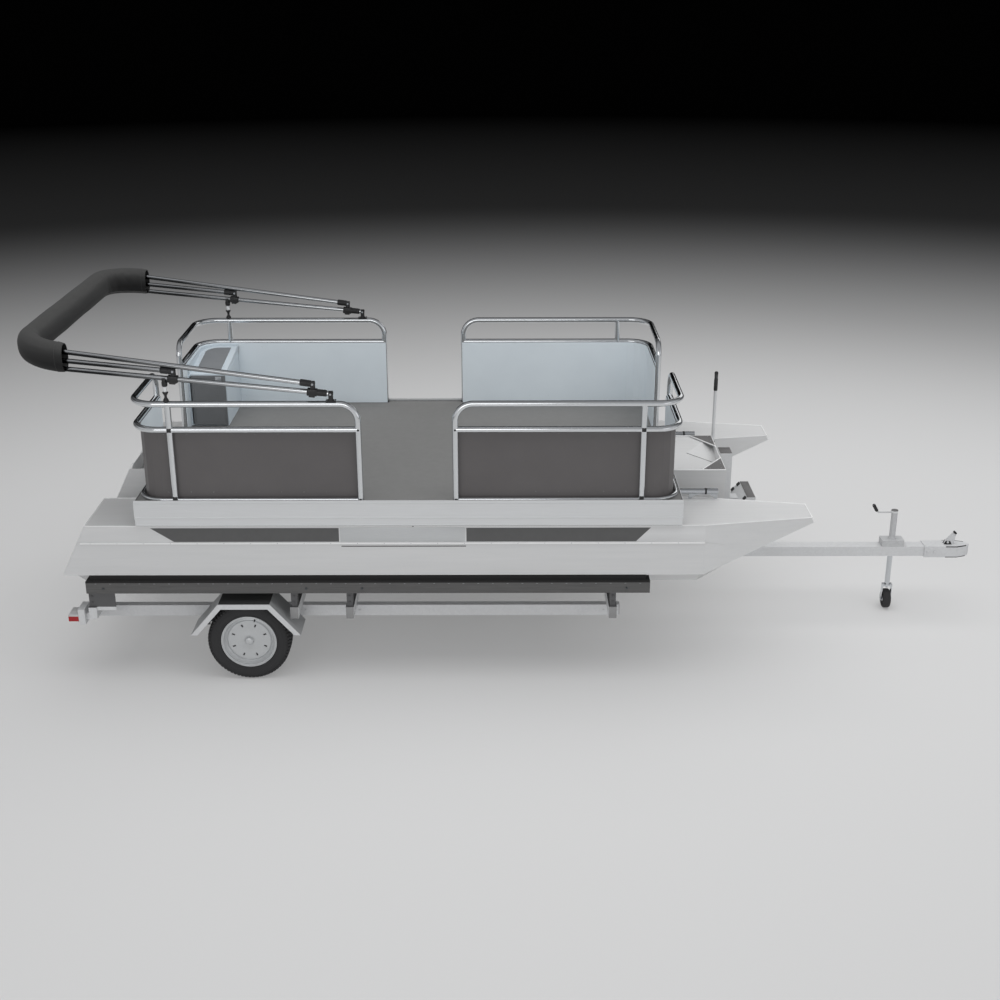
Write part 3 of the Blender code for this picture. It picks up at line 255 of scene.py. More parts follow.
def piece(name, shape, made, slot=None, stands_for=(), degrees=35, body=BOAT):
    """A bmesh, or a mesh, as a named piece with its finish, riding on its body."""
    mesh = shape
    if isinstance(shape, bmesh.types.BMesh):
        mesh = bpy.data.meshes.new(name)
        shape.to_mesh(mesh)
        shape.free()
    mesh.name = name
    mesh.materials.clear()
    mesh.materials.append(made)
    mesh.shade_smooth()
    mesh.set_sharp_from_angle(angle=math.radians(degrees))
    put = bpy.data.objects.new(name, mesh)
    bpy.context.scene.collection.objects.link(put)
    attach(put, body)
    if stands_for:
        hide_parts(*stands_for)
    return put


def crisp(made, slot, degrees, *names):
    """Copies CAD nodes with their facets joined, so that every fold of the sheet shades as a fold."""
    for name in names:
        shape = bmesh.new()
        shape.from_mesh(nodes[name].data)
        shape.transform(nodes[name].matrix_world)
        bmesh.ops.remove_doubles(shape, verts=shape.verts, dist=0.00001)
        piece(name + "_sheet", shape, made, slot, (name,), degrees)


def block(shape, low, high, ease=0.0):
    """A box with its edges eased, added to a bmesh."""
    low, high = Vector(low), Vector(high)
    low, high = Vector(map(min, low, high)), Vector(map(max, low, high))
    made = bmesh.ops.create_cube(shape, size=1)["verts"]
    for corner in made:
        corner.co = (low + high) / 2 + corner.co * (high - low)
    if ease:
        edges = list({edge for corner in made for edge in corner.link_edges})
        bmesh.ops.bevel(shape, geom=edges, offset=ease, segments=2, profile=0.5, affect="EDGES")


def slab(shape, outline, axis, low, high):
    """An outline of places, flat across one axis, drawn out along that axis from low to high."""
    rings = []
    for reach in (low, high):
        ring = []
        for place in outline:
            spot = Vector(place)
            spot[axis] = reach
            ring.append(shape.verts.new(spot))
        rings.append(ring)
    faces = [shape.faces.new(ring) for ring in rings]
    count = len(outline)
    for i in range(count):
        j = (i + 1) % count
        faces.append(shape.faces.new((rings[0][i], rings[0][j], rings[1][j], rings[1][i])))
    bmesh.ops.recalc_face_normals(shape, faces=faces)


def turned(shape, centre, axis, profile, sides=48):
    """A profile of (along, radius) turned round an axis. It closes on itself or on the axis."""
    along = Vector([1 if i == axis else 0 for i in range(3)])
    first = Vector([1 if i == (axis + 1) % 3 else 0 for i in range(3)])
    second = along.cross(first)
    rows = []
    for a, r in profile:
        turns = [0] if r == 0 else [math.tau * i / sides for i in range(sides)]
        rows.append([shape.verts.new(centre + along * a + (first * math.cos(t) + second * math.sin(t)) * r)
                     for t in turns])
    faces = []
    for k in range(len(rows) - (len(rows[0]) == 1)):
        a, b = rows[k], rows[(k + 1) % len(rows)]
        for i in range(sides):
            j = (i + 1) % sides
            corners = list(dict.fromkeys((a[i % len(a)], a[j % len(a)], b[j % len(b)], b[i % len(b)])))
            if len(corners) > 2:
                faces.append(shape.faces.new(corners))
    bmesh.ops.recalc_face_normals(shape, faces=faces)
    return faces


def new_tree(name, **sizes):
    """A node tree with geometry in and out, an input for each named size, and one for the finish."""
    tree = bpy.data.node_groups.new(name, "GeometryNodeTree")
    tree.interface.new_socket("Geometry", in_out="OUTPUT", socket_type="NodeSocketGeometry")
    tree.interface.new_socket("Geometry", in_out="INPUT", socket_type="NodeSocketGeometry")
    for label, value in sizes.items():
        kind = "NodeSocketInt" if isinstance(value, int) else "NodeSocketFloat"
        tree.interface.new_socket(label, in_out="INPUT", socket_type=kind).default_value = value
    tree.interface.new_socket("Finish", in_out="INPUT", socket_type="NodeSocketMaterial")
    return tree, add(tree, "NodeGroupInput")


def closed_tree(tree, given, geometry):
    """Makes what the tree grew real, with its finish, and sends it out."""
    real = add(tree, "GeometryNodeRealizeInstances", {"Geometry": geometry})
    done = add(tree, "GeometryNodeSetMaterial", {"Geometry": real.outputs[0],
                                                 "Material": given.outputs["Finish"]})
    add(tree, "NodeGroupOutput", {"Geometry": done.outputs[0]})
    return tree


def placed_tree(name, item, **sizes):
    """A tree that puts one item on every point that comes in, turned by the point's own "facing"."""
    tree, given = new_tree(name, **sizes)
    facing = add(tree, "GeometryNodeInputNamedAttribute", {"Name": "facing"}, data_type="FLOAT_VECTOR")
    placed = add(tree, "GeometryNodeInstanceOnPoints", {
        "Points": given.outputs["Geometry"], "Instance": item(tree, given.outputs),
        "Rotation": facing.outputs["Attribute"]})
    return closed_tree(tree, given, placed.outputs["Instances"])


def hex_bolt(tree, sizes):
    """A washer under a six-sided head with a threaded end standing out of it."""
    radius, tall = sizes["radius"], sizes["tall"]
    stack = add(tree, "GeometryNodeJoinGeometry")
    for sides, wide, deep, up in ((20, 1.5, 0.3, 0.1), (6, 1.0, 0.9, 0.65), (12, 0.5, 0.5, 1.2)):
        disc = add(tree, "GeometryNodeMeshCylinder", {
            "Vertices": sides, "Radius": maths(tree, "MULTIPLY", radius, wide),
            "Depth": maths(tree, "MULTIPLY", tall, deep)})
        lift = add(tree, "ShaderNodeCombineXYZ", {"Z": maths(tree, "MULTIPLY", tall, up)})
        raised = add(tree, "GeometryNodeTransform",
                     {"Geometry": disc.outputs["Mesh"], "Translation": lift.outputs[0]})
        tree.links.new(raised.outputs["Geometry"], stack.inputs[0])
    return stack.outputs[0]


def grown(name, tree, carrier_mesh, made, slot, stands_for=(), degrees=35, body=BOAT, **sizes):
    """Runs a node tree on a mesh of points or edges and keeps the result as a plain piece."""
    carrier = bpy.data.objects.new(name, carrier_mesh)
    bpy.context.scene.collection.objects.link(carrier)
    modifier = carrier.modifiers.new("grow", "NODES")
    modifier.node_group = tree
    for socket in tree.interface.items_tree:
        if socket.in_out == "INPUT" and socket.name in sizes:
            modifier[socket.identifier] = sizes[socket.name]
        if socket.in_out == "INPUT" and socket.name == "Finish":
            modifier[socket.identifier] = made
    plain = bpy.data.meshes.new_from_object(carrier.evaluated_get(bpy.context.evaluated_depsgraph_get()))
    carrier.modifiers.clear()
    bpy.data.objects.remove(carrier)
    return piece(name, plain, made, slot, stands_for, degrees, body=body)


def points_facing(points):
    """A mesh of loose points, each a place and the turn that its item gets."""
    mesh = bpy.data.meshes.new("points")
    mesh.from_pydata([tuple(place) for place, _ in points], [], [])
    facing = mesh.attributes.new("facing", "FLOAT_VECTOR", "POINT")
    for entry, (_, turn) in zip(facing.data, points):
        entry.vector = turn
    return mesh


def dotted(name, tree, points, made, slot, **settings):
    """One item on each of some points, as one piece."""
    return grown(name, tree, points_facing(points), made, slot, **settings)


UP, DOWN = (0, 0, 0), (math.pi, 0, 0)
FORWARD, AFT = (0, math.pi / 2, 0), (0, -math.pi / 2, 0)
SIDES = (("starboard", -1), ("port", 1))
OUTWARD = {-1: (math.pi / 2, 0, 0), 1: (-math.pi / 2, 0, 0)}
bolts = placed_tree("hex_bolts", hex_bolt, radius=0.008, tall=0.008)
# Bare zinc looks pale and blotchy, and half dull.
zinc, *_ = galvanised("hot_dip_galvanised_steel")
# Thin bright plating gives the bolt heads small sharp glints.
bright_zinc = clouded("bright_zinc_plated_bolt", 0.004, "#a9acaf", "#c6c9cc", (0.26, 0.4), 0.05, metallic=0.9)
# Moulded polyethylene: dull black, with a fine sparked texture.
moulded_black = clouded("moulded_black_polyethylene", 0.003, "#161617", "#232324", (0.42, 0.58), 0.1)
# Painted shade: above the cross tubes, where the bunk brackets stand in the shade of the bunks and hull, the
# frame is painted dark grey. The rest of it is bare zinc.
frame_zinc_with_painted_shade, tree, shader, bare = galvanised("galvanised_frame_with_painted_shade")
cross_low, cross_high = 0.4765, 0.5585
over_part(tree, shader, bare, "#5a5a5b", "Object", "Z", cross_high + 0.001)
give(frame_zinc_with_painted_shade, "trailer_frame")

cross_xs = (-2.18, -0.80, -0.42, 1.38)
cross_y, cross_half, bracket_y, bracket_zs = 1.16, 0.026, 1.145, (0.594, 0.638)
rail_y, rail_z, rail_ends, plug = 0.95, 0.437, (-2.27, 1.44), 0.004
frame_bolts = []
for _, side in SIDES:
    for x in cross_xs:
        frame_bolts += [(on_road(x, side * bracket_y, z), OUTWARD[side]) for z in bracket_zs]
        frame_bolts += [(on_road(x + step, side * rail_y, rail_z), OUTWARD[side]) for step in (-0.045, 0.045)]
# The bolts on the brackets get the same painted shade.
dotted("frame_bolts", bolts, frame_bolts, frame_zinc_with_painted_shade, "galvanised_steel", radius=0.0065, tall=0.006)

caps = bmesh.new()
for _, side in SIDES:
    for x in cross_xs[1:]:
        block(caps, on_road(x - cross_half, side * cross_y, cross_low),
              on_road(x + cross_half, side * (cross_y + plug), cross_high), 0.0015)
    for x, step in zip(rail_ends, (-plug, plug)):
        block(caps, on_road(x, side * (rail_y - 0.0535), rail_z - 0.0385),
              on_road(x + step, side * (rail_y - 0.0015), rail_z + 0.0385), 0.0015)
# The same moulded plastic in grey, a little chalky from the weather.
moulded_grey = clouded("moulded_grey_plug", 0.003, "#888888", "#949494", (0.42, 0.58), 0.1)
piece("tube_end_caps", caps, moulded_grey, "black_plastic")

# Axle and leaf springs
# A square galvanised axle under two packs of three spring-steel leaves, oiled black, held by U-bolts on a
# plate.


def path_tree():
    """Round bar or tube along edges: corners turn by each point's own "bend", ends are closed."""
    tree, given = new_tree("round_bar", radius=0.02, finish_sides=24, turn_steps=12)
    line = add(tree, "GeometryNodeMeshToCurve", {"Mesh": given.outputs["Geometry"]})
    bend = add(tree, "GeometryNodeInputNamedAttribute", {"Name": "bend"}, data_type="FLOAT")
    eased = add(tree, "GeometryNodeFilletCurve", {
        "Curve": line.outputs["Curve"], "Radius": bend.outputs["Attribute"],
        "Count": given.outputs["turn_steps"], "Limit Radius": True}, mode="POLY")
    ring = add(tree, "GeometryNodeCurvePrimitiveCircle", {
        "Radius": given.outputs["radius"], "Resolution": given.outputs["finish_sides"]})
    bar = add(tree, "GeometryNodeCurveToMesh", {
        "Curve": eased.outputs["Curve"], "Profile Curve": ring.outputs["Curve"], "Fill Caps": True})
    return closed_tree(tree, given, bar.outputs["Mesh"])


def paths_mesh(paths):
    """Edges along each path, given as places with the bend radius at each."""
    mesh = bpy.data.meshes.new("paths")
    places, edges, bends = [], [], []
    for path in paths:
        start = len(places)
        for place, bend in path:
            places.append(tuple(place))
            bends.append(bend)
        edges += [(i, i + 1) for i in range(start, len(places) - 1)]
    mesh.from_pydata(places, edges, [])
    attribute = mesh.attributes.new("bend", "FLOAT", "POINT")
    for entry, bend in zip(attribute.data, bends):
        entry.value = bend
    return mesh


round_bar = path_tree()


def bars(name, paths, made, slot, radius, sides=8, steps=1, **settings):
    """Round bars along some paths, as one piece."""
    return grown(name, round_bar, paths_mesh(paths), made, slot, radius=radius, finish_sides=sides,
                 turn_steps=steps, **settings)


# Rolled steel under oil is dark, with dull patches where dust has stuck.
spring_steel = clouded("oiled_spring_steel", 0.02, "#44474a", "#6a6d6f", (0.42, 0.62), 0.2, metallic=0.7)
give(zinc, "axle")
WHEEL_X, WHEEL_Z = -1.13, 0.2875
spring_y, spring_z, spring_half, leaf_half, leaf_thick = 0.9225, 0.3128, 0.32, 0.0225, 0.0056
eye_z, hanger_low, hanger_high = 0.348, 0.326, 0.3965
u_bolt_x, u_bolt_y, u_bolt_low, u_bolt_high, keeper_low = 0.034, 0.029, 0.247, 0.337, 0.2555
for name, side in SIDES:
    pack = bmesh.new()
    for leaf, share in enumerate((0.55, 0.78, 1.0)):
        steps = [share * (i / 12 - 1) for i in range(25)]
        line = [(spring_half * s, spring_z + 0.03 * s * s + 0.006 * leaf) for s in steps]
        outline = [on_road(WHEEL_X + x, 0, z + 0.0002) for x, z in line]
        outline += [on_road(WHEEL_X + x, 0, z + leaf_thick) for x, z in reversed(line)]
        slab(pack, outline, 1, side * spring_y - leaf_half, side * spring_y + leaf_half)
    for end in (-1, 1):
        x = WHEEL_X + end * spring_half
        for edge in (-1, 1):
            y = side * spring_y + edge * (leaf_half + 0.003)
            block(pack, on_road(x - 0.02, y - 0.0025, hanger_low),
                  on_road(x + 0.02, y + 0.0025, hanger_high), 0.001)
        turned(pack, on_road(x, side * spring_y, eye_z), 1,
               ((-leaf_half, 0), (-leaf_half, 0.014), (leaf_half, 0.014), (leaf_half, 0)), 24)
    piece("spring_leaves_" + name, pack, spring_steel, "galvanised_steel", ("leaf_spring_" + name,))
    loops = []
    for x in (WHEEL_X - u_bolt_x, WHEEL_X + u_bolt_x):
        ends = [on_road(x, side * spring_y + edge * u_bolt_y, u_bolt_low) for edge in (-1, 1)]
        tops = [on_road(x, side * spring_y + edge * u_bolt_y, u_bolt_high) for edge in (-1, 1)]
        loops.append([(ends[0], 0), (tops[0], 0.012), (tops[1], 0.012), (ends[1], 0)])
    bars("spring_u_bolts_" + name, loops, bright_zinc, "galvanised_steel", 0.005, 12, 6)
    keeper = bmesh.new()
    block(keeper, on_road(WHEEL_X - 0.05, side * spring_y - 0.04, keeper_low),
          on_road(WHEEL_X + 0.05, side * spring_y + 0.04, keeper_low + 0.0065), 0.0015)
    piece("spring_keeper_" + name, keeper, zinc, "galvanised_steel")
    nuts = [(on_road(WHEEL_X + along, side * spring_y + edge * u_bolt_y, keeper_low - 0.0003), DOWN)
            for along in (-u_bolt_x, u_bolt_x) for edge in (-1, 1)]
    nuts += [(on_road(WHEEL_X + end * spring_half, side * (spring_y + 0.028), eye_z), OUTWARD[side])
             for end in (-1, 1)]
    dotted("spring_nuts_" + name, bolts, nuts, bright_zinc, "galvanised_steel")

# Wheels and tyres
# Pressed steel wheels sprayed silver, each disc with eight slots and a domed cap, in moulded black road tyres
# with a rim rib, a stepped sidewall and five rows of tread blocks.

# Aluminium flake under a clear coat gives a soft silver with a faint sharper gloss over it.
wheel_paint = clouded("silver_wheel_paint", 0.003, "#bfc1c2", "#d2d4d5", (0.32, 0.42), 0.04, metallic=0.45,
                      Coat_Weight=0.3, Coat_Roughness=0.2)
# Moulded rubber is dry and matt, and greys as it weathers.
rubber = clouded("vulcanised_tyre_rubber", 0.004, "#262627", "#363637", (0.7, 0.88), 0.25, 0.0004)
WHEEL_Y = 1.0675
# (outwards along the axle, radius) over the front and round the back
WHEEL_SECTION = (
    (0.0735, 0.1925), (0.0760, 0.1922), (0.0768, 0.1905), (0.0765, 0.188), (0.0748, 0.1865),
    (0.0700, 0.1850), (0.0620, 0.1790), (0.0500, 0.1720), (0.0400, 0.1655), (0.0372, 0.1610),
    (0.0375, 0.1570), (0.0400, 0.1530), (0.0450, 0.1495), (0.0480, 0.1475), (0.0490, 0.1440),
    (0.0486, 0.1285), (0.0480, 0.1065), (0.0470, 0.0850), (0.0485, 0.0600), (0.0510, 0.0480),
    (0.0515, 0.0360), (0.0500, 0.0335), (0.0505, 0.0315), (0.0620, 0.0290), (0.0690, 0.0240),
    (0.0730, 0.0150), (0.0745, 0.0070), (0.0748, 0), (-0.0600, 0), (-0.0600, 0.0350), (0.0380, 0.0350),
    (0.0420, 0.1440), (0.0300, 0.1560), (0.0300, 0.1680), (-0.0740, 0.1740), (-0.0765, 0.1925),
    (-0.0706, 0.1925), (-0.0706, 0.1782), (0.0706, 0.1782), (0.0706, 0.1925))
SLOT_RADII, SLOT_COUNT, SLOT_DEEP, DISC_FACE = (0.1065, 0.1285), 8, 0.005, 0.046
WHEEL_STEPS = 128
TYRE_HALF_SECTION = (
    (0.0700, 0.1785), (0.0703, 0.1932), (0.0745, 0.1955), (0.0790, 0.1985), (0.0812, 0.2030),
    (0.0812, 0.2065), (0.0795, 0.2085), (0.0802, 0.2150), (0.0822, 0.2260), (0.0825, 0.2340),
    (0.0820, 0.2400), (0.0812, 0.2404), (0.0806, 0.2470), (0.0784, 0.2570), (0.0745, 0.2650),
    (0.0690, 0.2715), (0.0600, 0.2762), (0.0400, 0.2788), (0.0150, 0.2800))
# (offset from the middle, radius to the block's middle, tilt, half phase, width, height)
TREAD_ROWS = ((-0.0665, 0.2746, -0.52, 0, 0.022, 0.0135), (-0.0405, 0.2820, -0.10, 1, 0.021, 0.0085),
              (0, 0.2824, 0, 0, 0.026, 0.0085), (0.0405, 0.2820, 0.10, 1, 0.021, 0.0085),
              (0.0665, 0.2746, 0.52, 0, 0.022, 0.0135))
TREAD_COUNT = 66


def brick(tree, sizes):
    """A small bar given by its three sides."""
    bar = add(tree, "ShaderNodeCombineXYZ", {axis.upper(): sizes[axis] for axis in "xyz"})
    return add(tree, "GeometryNodeMeshCube", {"Size": bar.outputs[0]}).outputs["Mesh"]


tread = placed_tree("tread_blocks", brick, x=0.01, y=0.02, z=0.02)
for name, side in SIDES:
    body = "wheel_" + name
    centre = on_road(WHEEL_X, side * WHEEL_Y, WHEEL_Z)
    disc = bmesh.new()
    faces = turned(disc, centre, 1, [(side * along, radius) for along, radius in WHEEL_SECTION], WHEEL_STEPS)
    slots = []
    for face in faces:
        middle = face.calc_center_median() - centre
        reach = math.hypot(middle.x, middle.z)
        turn = (math.atan2(middle.z, middle.x) / math.tau * SLOT_COUNT) % 1
        on_face = SLOT_RADII[0] < reach < SLOT_RADII[1] and side * middle.y > DISC_FACE
        if on_face and abs(turn - 0.5) < 8 / WHEEL_STEPS:
            slots.append(face)
    pocket = bmesh.ops.extrude_face_region(disc, geom=slots)["geom"]
    bmesh.ops.translate(disc, vec=(0, -side * SLOT_DEEP, 0),
                        verts=[v for v in pocket if isinstance(v, bmesh.types.BMVert)])
    bmesh.ops.delete(disc, geom=[face for face in slots if face.is_valid], context="FACES_ONLY")
    piece("wheel_disc_" + name, disc, wheel_paint, "wheel_paint", ("wheel_" + name,), 28, body=body)
    # Painted shade: black plates at the bottoms of the slots stand for the shaded hollow behind the disc.
    # (out from the axle, half width)
    shade = bmesh.new()
    for k in range(SLOT_COUNT):
        turn = math.tau * (k + 0.5) / SLOT_COUNT
        spoke = Vector((math.cos(turn), 0, math.sin(turn)))
        across = Vector((-math.sin(turn), 0, math.cos(turn)))
        corners = []
        for along, wide in ((0.1072, -0.0046), (0.1278, -0.0050), (0.1278, 0.0050), (0.1072, 0.0046)):
            corners.append(centre + spoke * along + across * wide)
        slab(shade, corners, 1, centre.y + side * 0.0438, centre.y + side * 0.0450)
    piece("wheel_slot_painted_shade_" + name, shade, moulded_black, "tyre_rubber", body=body)
    valve = bmesh.new()
    turned(valve, centre + Vector((0.045, side * 0.036, 0.152)), 1,
           ((0, 0), (0, 0.0055), (side * 0.012, 0.005), (side * 0.014, 0.0038), (side * 0.034, 0.0036),
            (side * 0.036, 0)), 16)
    piece("valve_stem_" + name, valve, moulded_black, "tyre_rubber", body=body)
    section = [(-along, radius) for along, radius in TYRE_HALF_SECTION]
    section += [(along, radius) for along, radius in reversed(TYRE_HALF_SECTION)]
    casing = bmesh.new()
    turned(casing, centre, 1, section, 120)
    piece("tyre_casing_" + name, casing, rubber, "tyre_rubber", ("tyre_" + name,), 25, body=body)
    for row, (offset, radius, tilt, phase, width, tall) in enumerate(TREAD_ROWS):
        blocks = []
        for k in range(TREAD_COUNT):
            turn = math.tau * (k + phase / 2) / TREAD_COUNT
            place = centre + Vector((radius * math.cos(turn), offset, radius * math.sin(turn)))
            facing = (Matrix.Rotation(-turn, 3, "Y") @ Matrix.Rotation(tilt, 3, "Z")).to_euler()
            blocks.append((place, facing))
        dotted(f"tread_{name}_row_{row + 1}", tread, blocks, rubber, "tyre_rubber", x=tall, y=width,
               z=0.0185, body=body)

# Mudguards
# Folded galvanised sheet in three flats with a turned-down lip, bolted to the rail. The faces that look up
# are painted darker, and a rough black sheet lies on the top flat; both are painted shade under the hull.

# Painted shade: the faces that look up are a darker grey than the zinc of the sides.
guard_zinc_with_painted_shade, tree, shader, bare = galvanised("galvanised_sheet_with_painted_shade")
over_part(tree, shader, bare, "#9b9c9d", "Normal", "Z", 0.3)
give(guard_zinc_with_painted_shade, "mudguard_starboard", "mudguard_port")
# A rough black sheet without gloss, as painted shade on the top flat under the hull.
black_shade_sheet = clouded("black_painted_shade_sheet", 0.0015, "#1f1f1f", "#383838", (0.85, 1.0), 0.6, 0.0005)
guard_bolts, tape = [], bmesh.new()
for _, side in SIDES:
    block(tape, on_road(WHEEL_X - 0.181, side * 0.957, 0.5992),
          on_road(WHEEL_X + 0.168, side * 1.1955, 0.6003), 0.0004)
    for x in (-0.115, 0.0, 0.115):
        guard_bolts.append((on_road(WHEEL_X - 0.0065 + x, side * 0.9545, 0.565), OUTWARD[side]))
piece("mudguard_painted_shade_sheet", tape, black_shade_sheet, "black_plastic")
dotted("mudguard_bolts", bolts, guard_bolts, bright_zinc, "galvanised_steel", radius=0.0065, tall=0.006)

# Bunks
# Sawn planks painted grey, with a strip of black needle-punched carpet pulled over the top and stapled down.

# Painted sawn wood is dull and streaked along its grain, and the carpet over it has no gloss at all.
bunk_cover, tree, shader = finish_of("carpeted_plank", "#4b4b4b", 0.95)
space = pattern_space(tree)
grain = add(tree, "ShaderNodeTexNoise", {"Vector": pattern_space(tree, (0.04, 1, 1)), "Scale": 1 / 0.006,
                                         "Detail": 6.0})
tuft = add(tree, "ShaderNodeTexNoise", {"Vector": space, "Scale": 1 / 0.003, "Detail": 3.0, "Roughness": 0.8})
wood = colour_mix(tree, grain.outputs["Fac"], "#505050", "#6a6968")
pile = colour_mix(tree, tuft.outputs["Fac"], "#161616", "#2e2d2d")
CARPET_EDGE = 0.7435
carpet = maths(tree, "GREATER_THAN", own(tree, "Object", "Z"), CARPET_EDGE)
tree.links.new(colour_mix(tree, carpet, wood, pile), shader.inputs["Base Color"])
fuzz = add(tree, "ShaderNodeMix", {0: carpet, 2: grain.outputs["Fac"], 3: tuft.outputs["Fac"]},
           data_type="FLOAT")
emboss(tree, shader, fuzz.outputs[0], 0.6, 0.0015)
bunk_nodes = [f"bunk_{side}_{place}" for side, _ in SIDES for place in ("inner", "outer")]
give(bunk_cover, *bunk_nodes)
staples = placed_tree("carpet_staples", brick, x=0.012, y=0.0014, z=0.0014)
staple_points, screw_points = [], []
for _, side in SIDES:
    for k in range(38):
        staple_points.append((on_road(-2.14 + 0.1 * k, side * 1.1602, 0.7375), OUTWARD[side]))
    for x in cross_xs:
        screw_points.append((on_road(x + 0.09, side * 1.16, 0.702), OUTWARD[side]))
dotted("bunk_staples", staples, staple_points, bright_zinc, "galvanised_steel")
dotted("bunk_coach_screws", bolts, screw_points, spring_steel, "galvanised_steel", radius=0.006, tall=0.005)

# Tail lamps
# Moulded acrylic lenses under a pale housing, on a black gasket, each held by two small screws to its plate.

# Red plastic over a dark back gives a deep colour with a wet gloss.
red_lens, tree, shader = finish_of("moulded_red_acrylic", "#a3141a", 0.2, Coat_Weight=0.1)
space = pattern_space(tree)
mottle(tree, shader, space, 0.006, "#960f15", "#ae1a20", (0.16, 0.26))
# Prisms inside the lens, 5 mm apart, show as a fine grid.
cells = add(tree, "ShaderNodeTexVoronoi", {"Vector": space, "Scale": 1 / 0.005, "Randomness": 0.0},
            distance="CHEBYCHEV")
emboss(tree, shader, cells.outputs["Distance"], 0.4, 0.001)
give(red_lens, "tail_lamp_starboard", "tail_lamp_port")
# Moulded plastic, pale and smooth, with a soft gloss.
pale_housing = clouded("moulded_pale_lamp_housing", 0.004, "#c0c0c0", "#cdcdcd", (0.34, 0.46), 0.05)
lamp_y, lamp_half, lamp_back_x, lamp_front_x = 1.095, 0.064, -2.3532, -2.2835
gaskets, covers, screws = bmesh.new(), bmesh.new(), []
for _, side in SIDES:
    low, high = side * (lamp_y - lamp_half), side * (lamp_y + lamp_half)
    block(gaskets, on_road(lamp_front_x - 0.003, low, 0.4535), on_road(lamp_front_x + 0.0002, high, 0.5025),
          0.0008)
    block(covers, on_road(lamp_back_x, low - side * 0.001, 0.4925),
          on_road(lamp_front_x, high + side * 0.0024, 0.5022), 0.0015)
    screws += [(on_road(lamp_back_x + 0.001, side * (lamp_y + step), 0.4675), AFT)
               for step in (-0.048, 0.048)]
piece("tail_lamp_covers", covers, pale_housing, "trim_aluminium")
piece("tail_lamp_gaskets", gaskets, moulded_black, "black_plastic")
dotted("tail_lamp_screws", bolts, screws, bright_zinc, "galvanised_steel", radius=0.0035, tall=0.0025)

# Winch post and bow stop
# A galvanised post in two cheek plates on the drawbar and the bow stop, both topped with a grey painted plate
# whose cut edges stayed bare. Four rubber blocks stand on the corners of the stop's slope.
give(zinc, "winch_post", "winch")
post_x, post_top, cheek_half, cheek_in, cheek_out, pin_z = 2.28, 1.28, 0.085, 0.0705, 0.0755, 0.4875
fittings = bmesh.new()
for side in (-1, 1):
    outline = [on_road(post_x + x, 0, z) for x, z in
               ((-cheek_half, 0.46), (cheek_half, 0.46), (cheek_half, 0.53), (0.05, 0.64), (-0.05, 0.64),
                (-cheek_half, 0.53))]
    slab(fittings, outline, 1, side * cheek_in, side * cheek_out)
    for x in (-0.06, 0.06):
        turned(fittings, on_road(post_x + x, side * (cheek_in - 0.01), pin_z), 1,
               ((-0.010, 0), (-0.010, 0.009), (0.010, 0.009), (0.010, 0)), 16)
piece("winch_post_cheeks", fittings, zinc, "galvanised_steel")
cheek_bolts = [(on_road(post_x + x, side * cheek_out, z), OUTWARD[side])
               for side in (-1, 1) for x, z in ((-0.06, pin_z), (0.06, pin_z), (-0.026, 0.60), (0.026, 0.60))]
cheek_bolts += [(on_road(post_x + 0.13, side * 0.045, 0.905), OUTWARD[side]) for side in (-1, 1)]
dotted("winch_post_bolts", bolts, cheek_bolts, bright_zinc, "galvanised_steel", radius=0.009, tall=0.009)
cap = bmesh.new()
block(cap, on_road(post_x - 0.0445, -0.0695, post_top), on_road(post_x + 0.0445, 0.0695, post_top + 0.006),
      0.002)
# Enamel on the upper face is even and half gloss, and the cut edges stay pale and bare.
grey_paint, tree, shader = finish_of("grey_painted_plate", "#5f5e5e", 0.42)
paint = mottle(tree, shader, pattern_space(tree), 0.08, "#5a5959", "#656464", (0.36, 0.48), 0.02)
over_part(tree, shader, "#dcdddd", paint, "Normal", "Z", 0.5)
piece("winch_post_cap", cap, grey_paint, "fence_sheet")
# Moulded rubber, near black and without a highlight.
rubber_pad = clouded("moulded_black_rubber_pad", 0.002, "#1a1a1b", "#29292a", (0.62, 0.8), 0.2, 0.0003)
top_plate = bmesh.new()
block(top_plate, on_road(2.4345, -0.169, 0.973), on_road(2.4975, 0.169, 0.9765), 0.0008)
piece("bow_stop_top_plate", top_plate, grey_paint, "fence_sheet")
pads = bmesh.new()
foot, head = Vector((2.3703, 0.9065)), Vector((2.4333, 0.9730))
off = (head - foot).orthogonal().normalized()
for side in (-1, 1):
    for share in (0.03, 0.66):
        near, far = foot.lerp(head, share), foot.lerp(head, share + 0.31)
        outline = [on_road(p.x, 0, p.y) for p in (near + off * 0.0002, far + off * 0.0002, far + off * 0.006,
                                                  near + off * 0.006)]
        slab(pads, outline, 1, side * 0.128, side * 0.168)
piece("bow_stop_rubber", pads, rubber_pad, "black_plastic")

# Coupling
# A pressed steel ball head bolted over the drawbar's nose, with black strips along its upper and lower lips;
# its latch lever turns between moulded ears and has a moulded tip.
give(zinc, "coupling", "coupling_lever")
head_bolts = [(on_road(x, side * y, pin_z), OUTWARD[side])
              for side in (-1, 1) for x, y in ((3.856, 0.0622), (3.908, 0.0622))]
head_bolts += [(on_road(4.013, side * 0.0125, 0.549), OUTWARD[side]) for side in (-1, 1)]
dotted("coupling_bolts", bolts, head_bolts, zinc, "galvanised_steel", radius=0.009, tall=0.009)
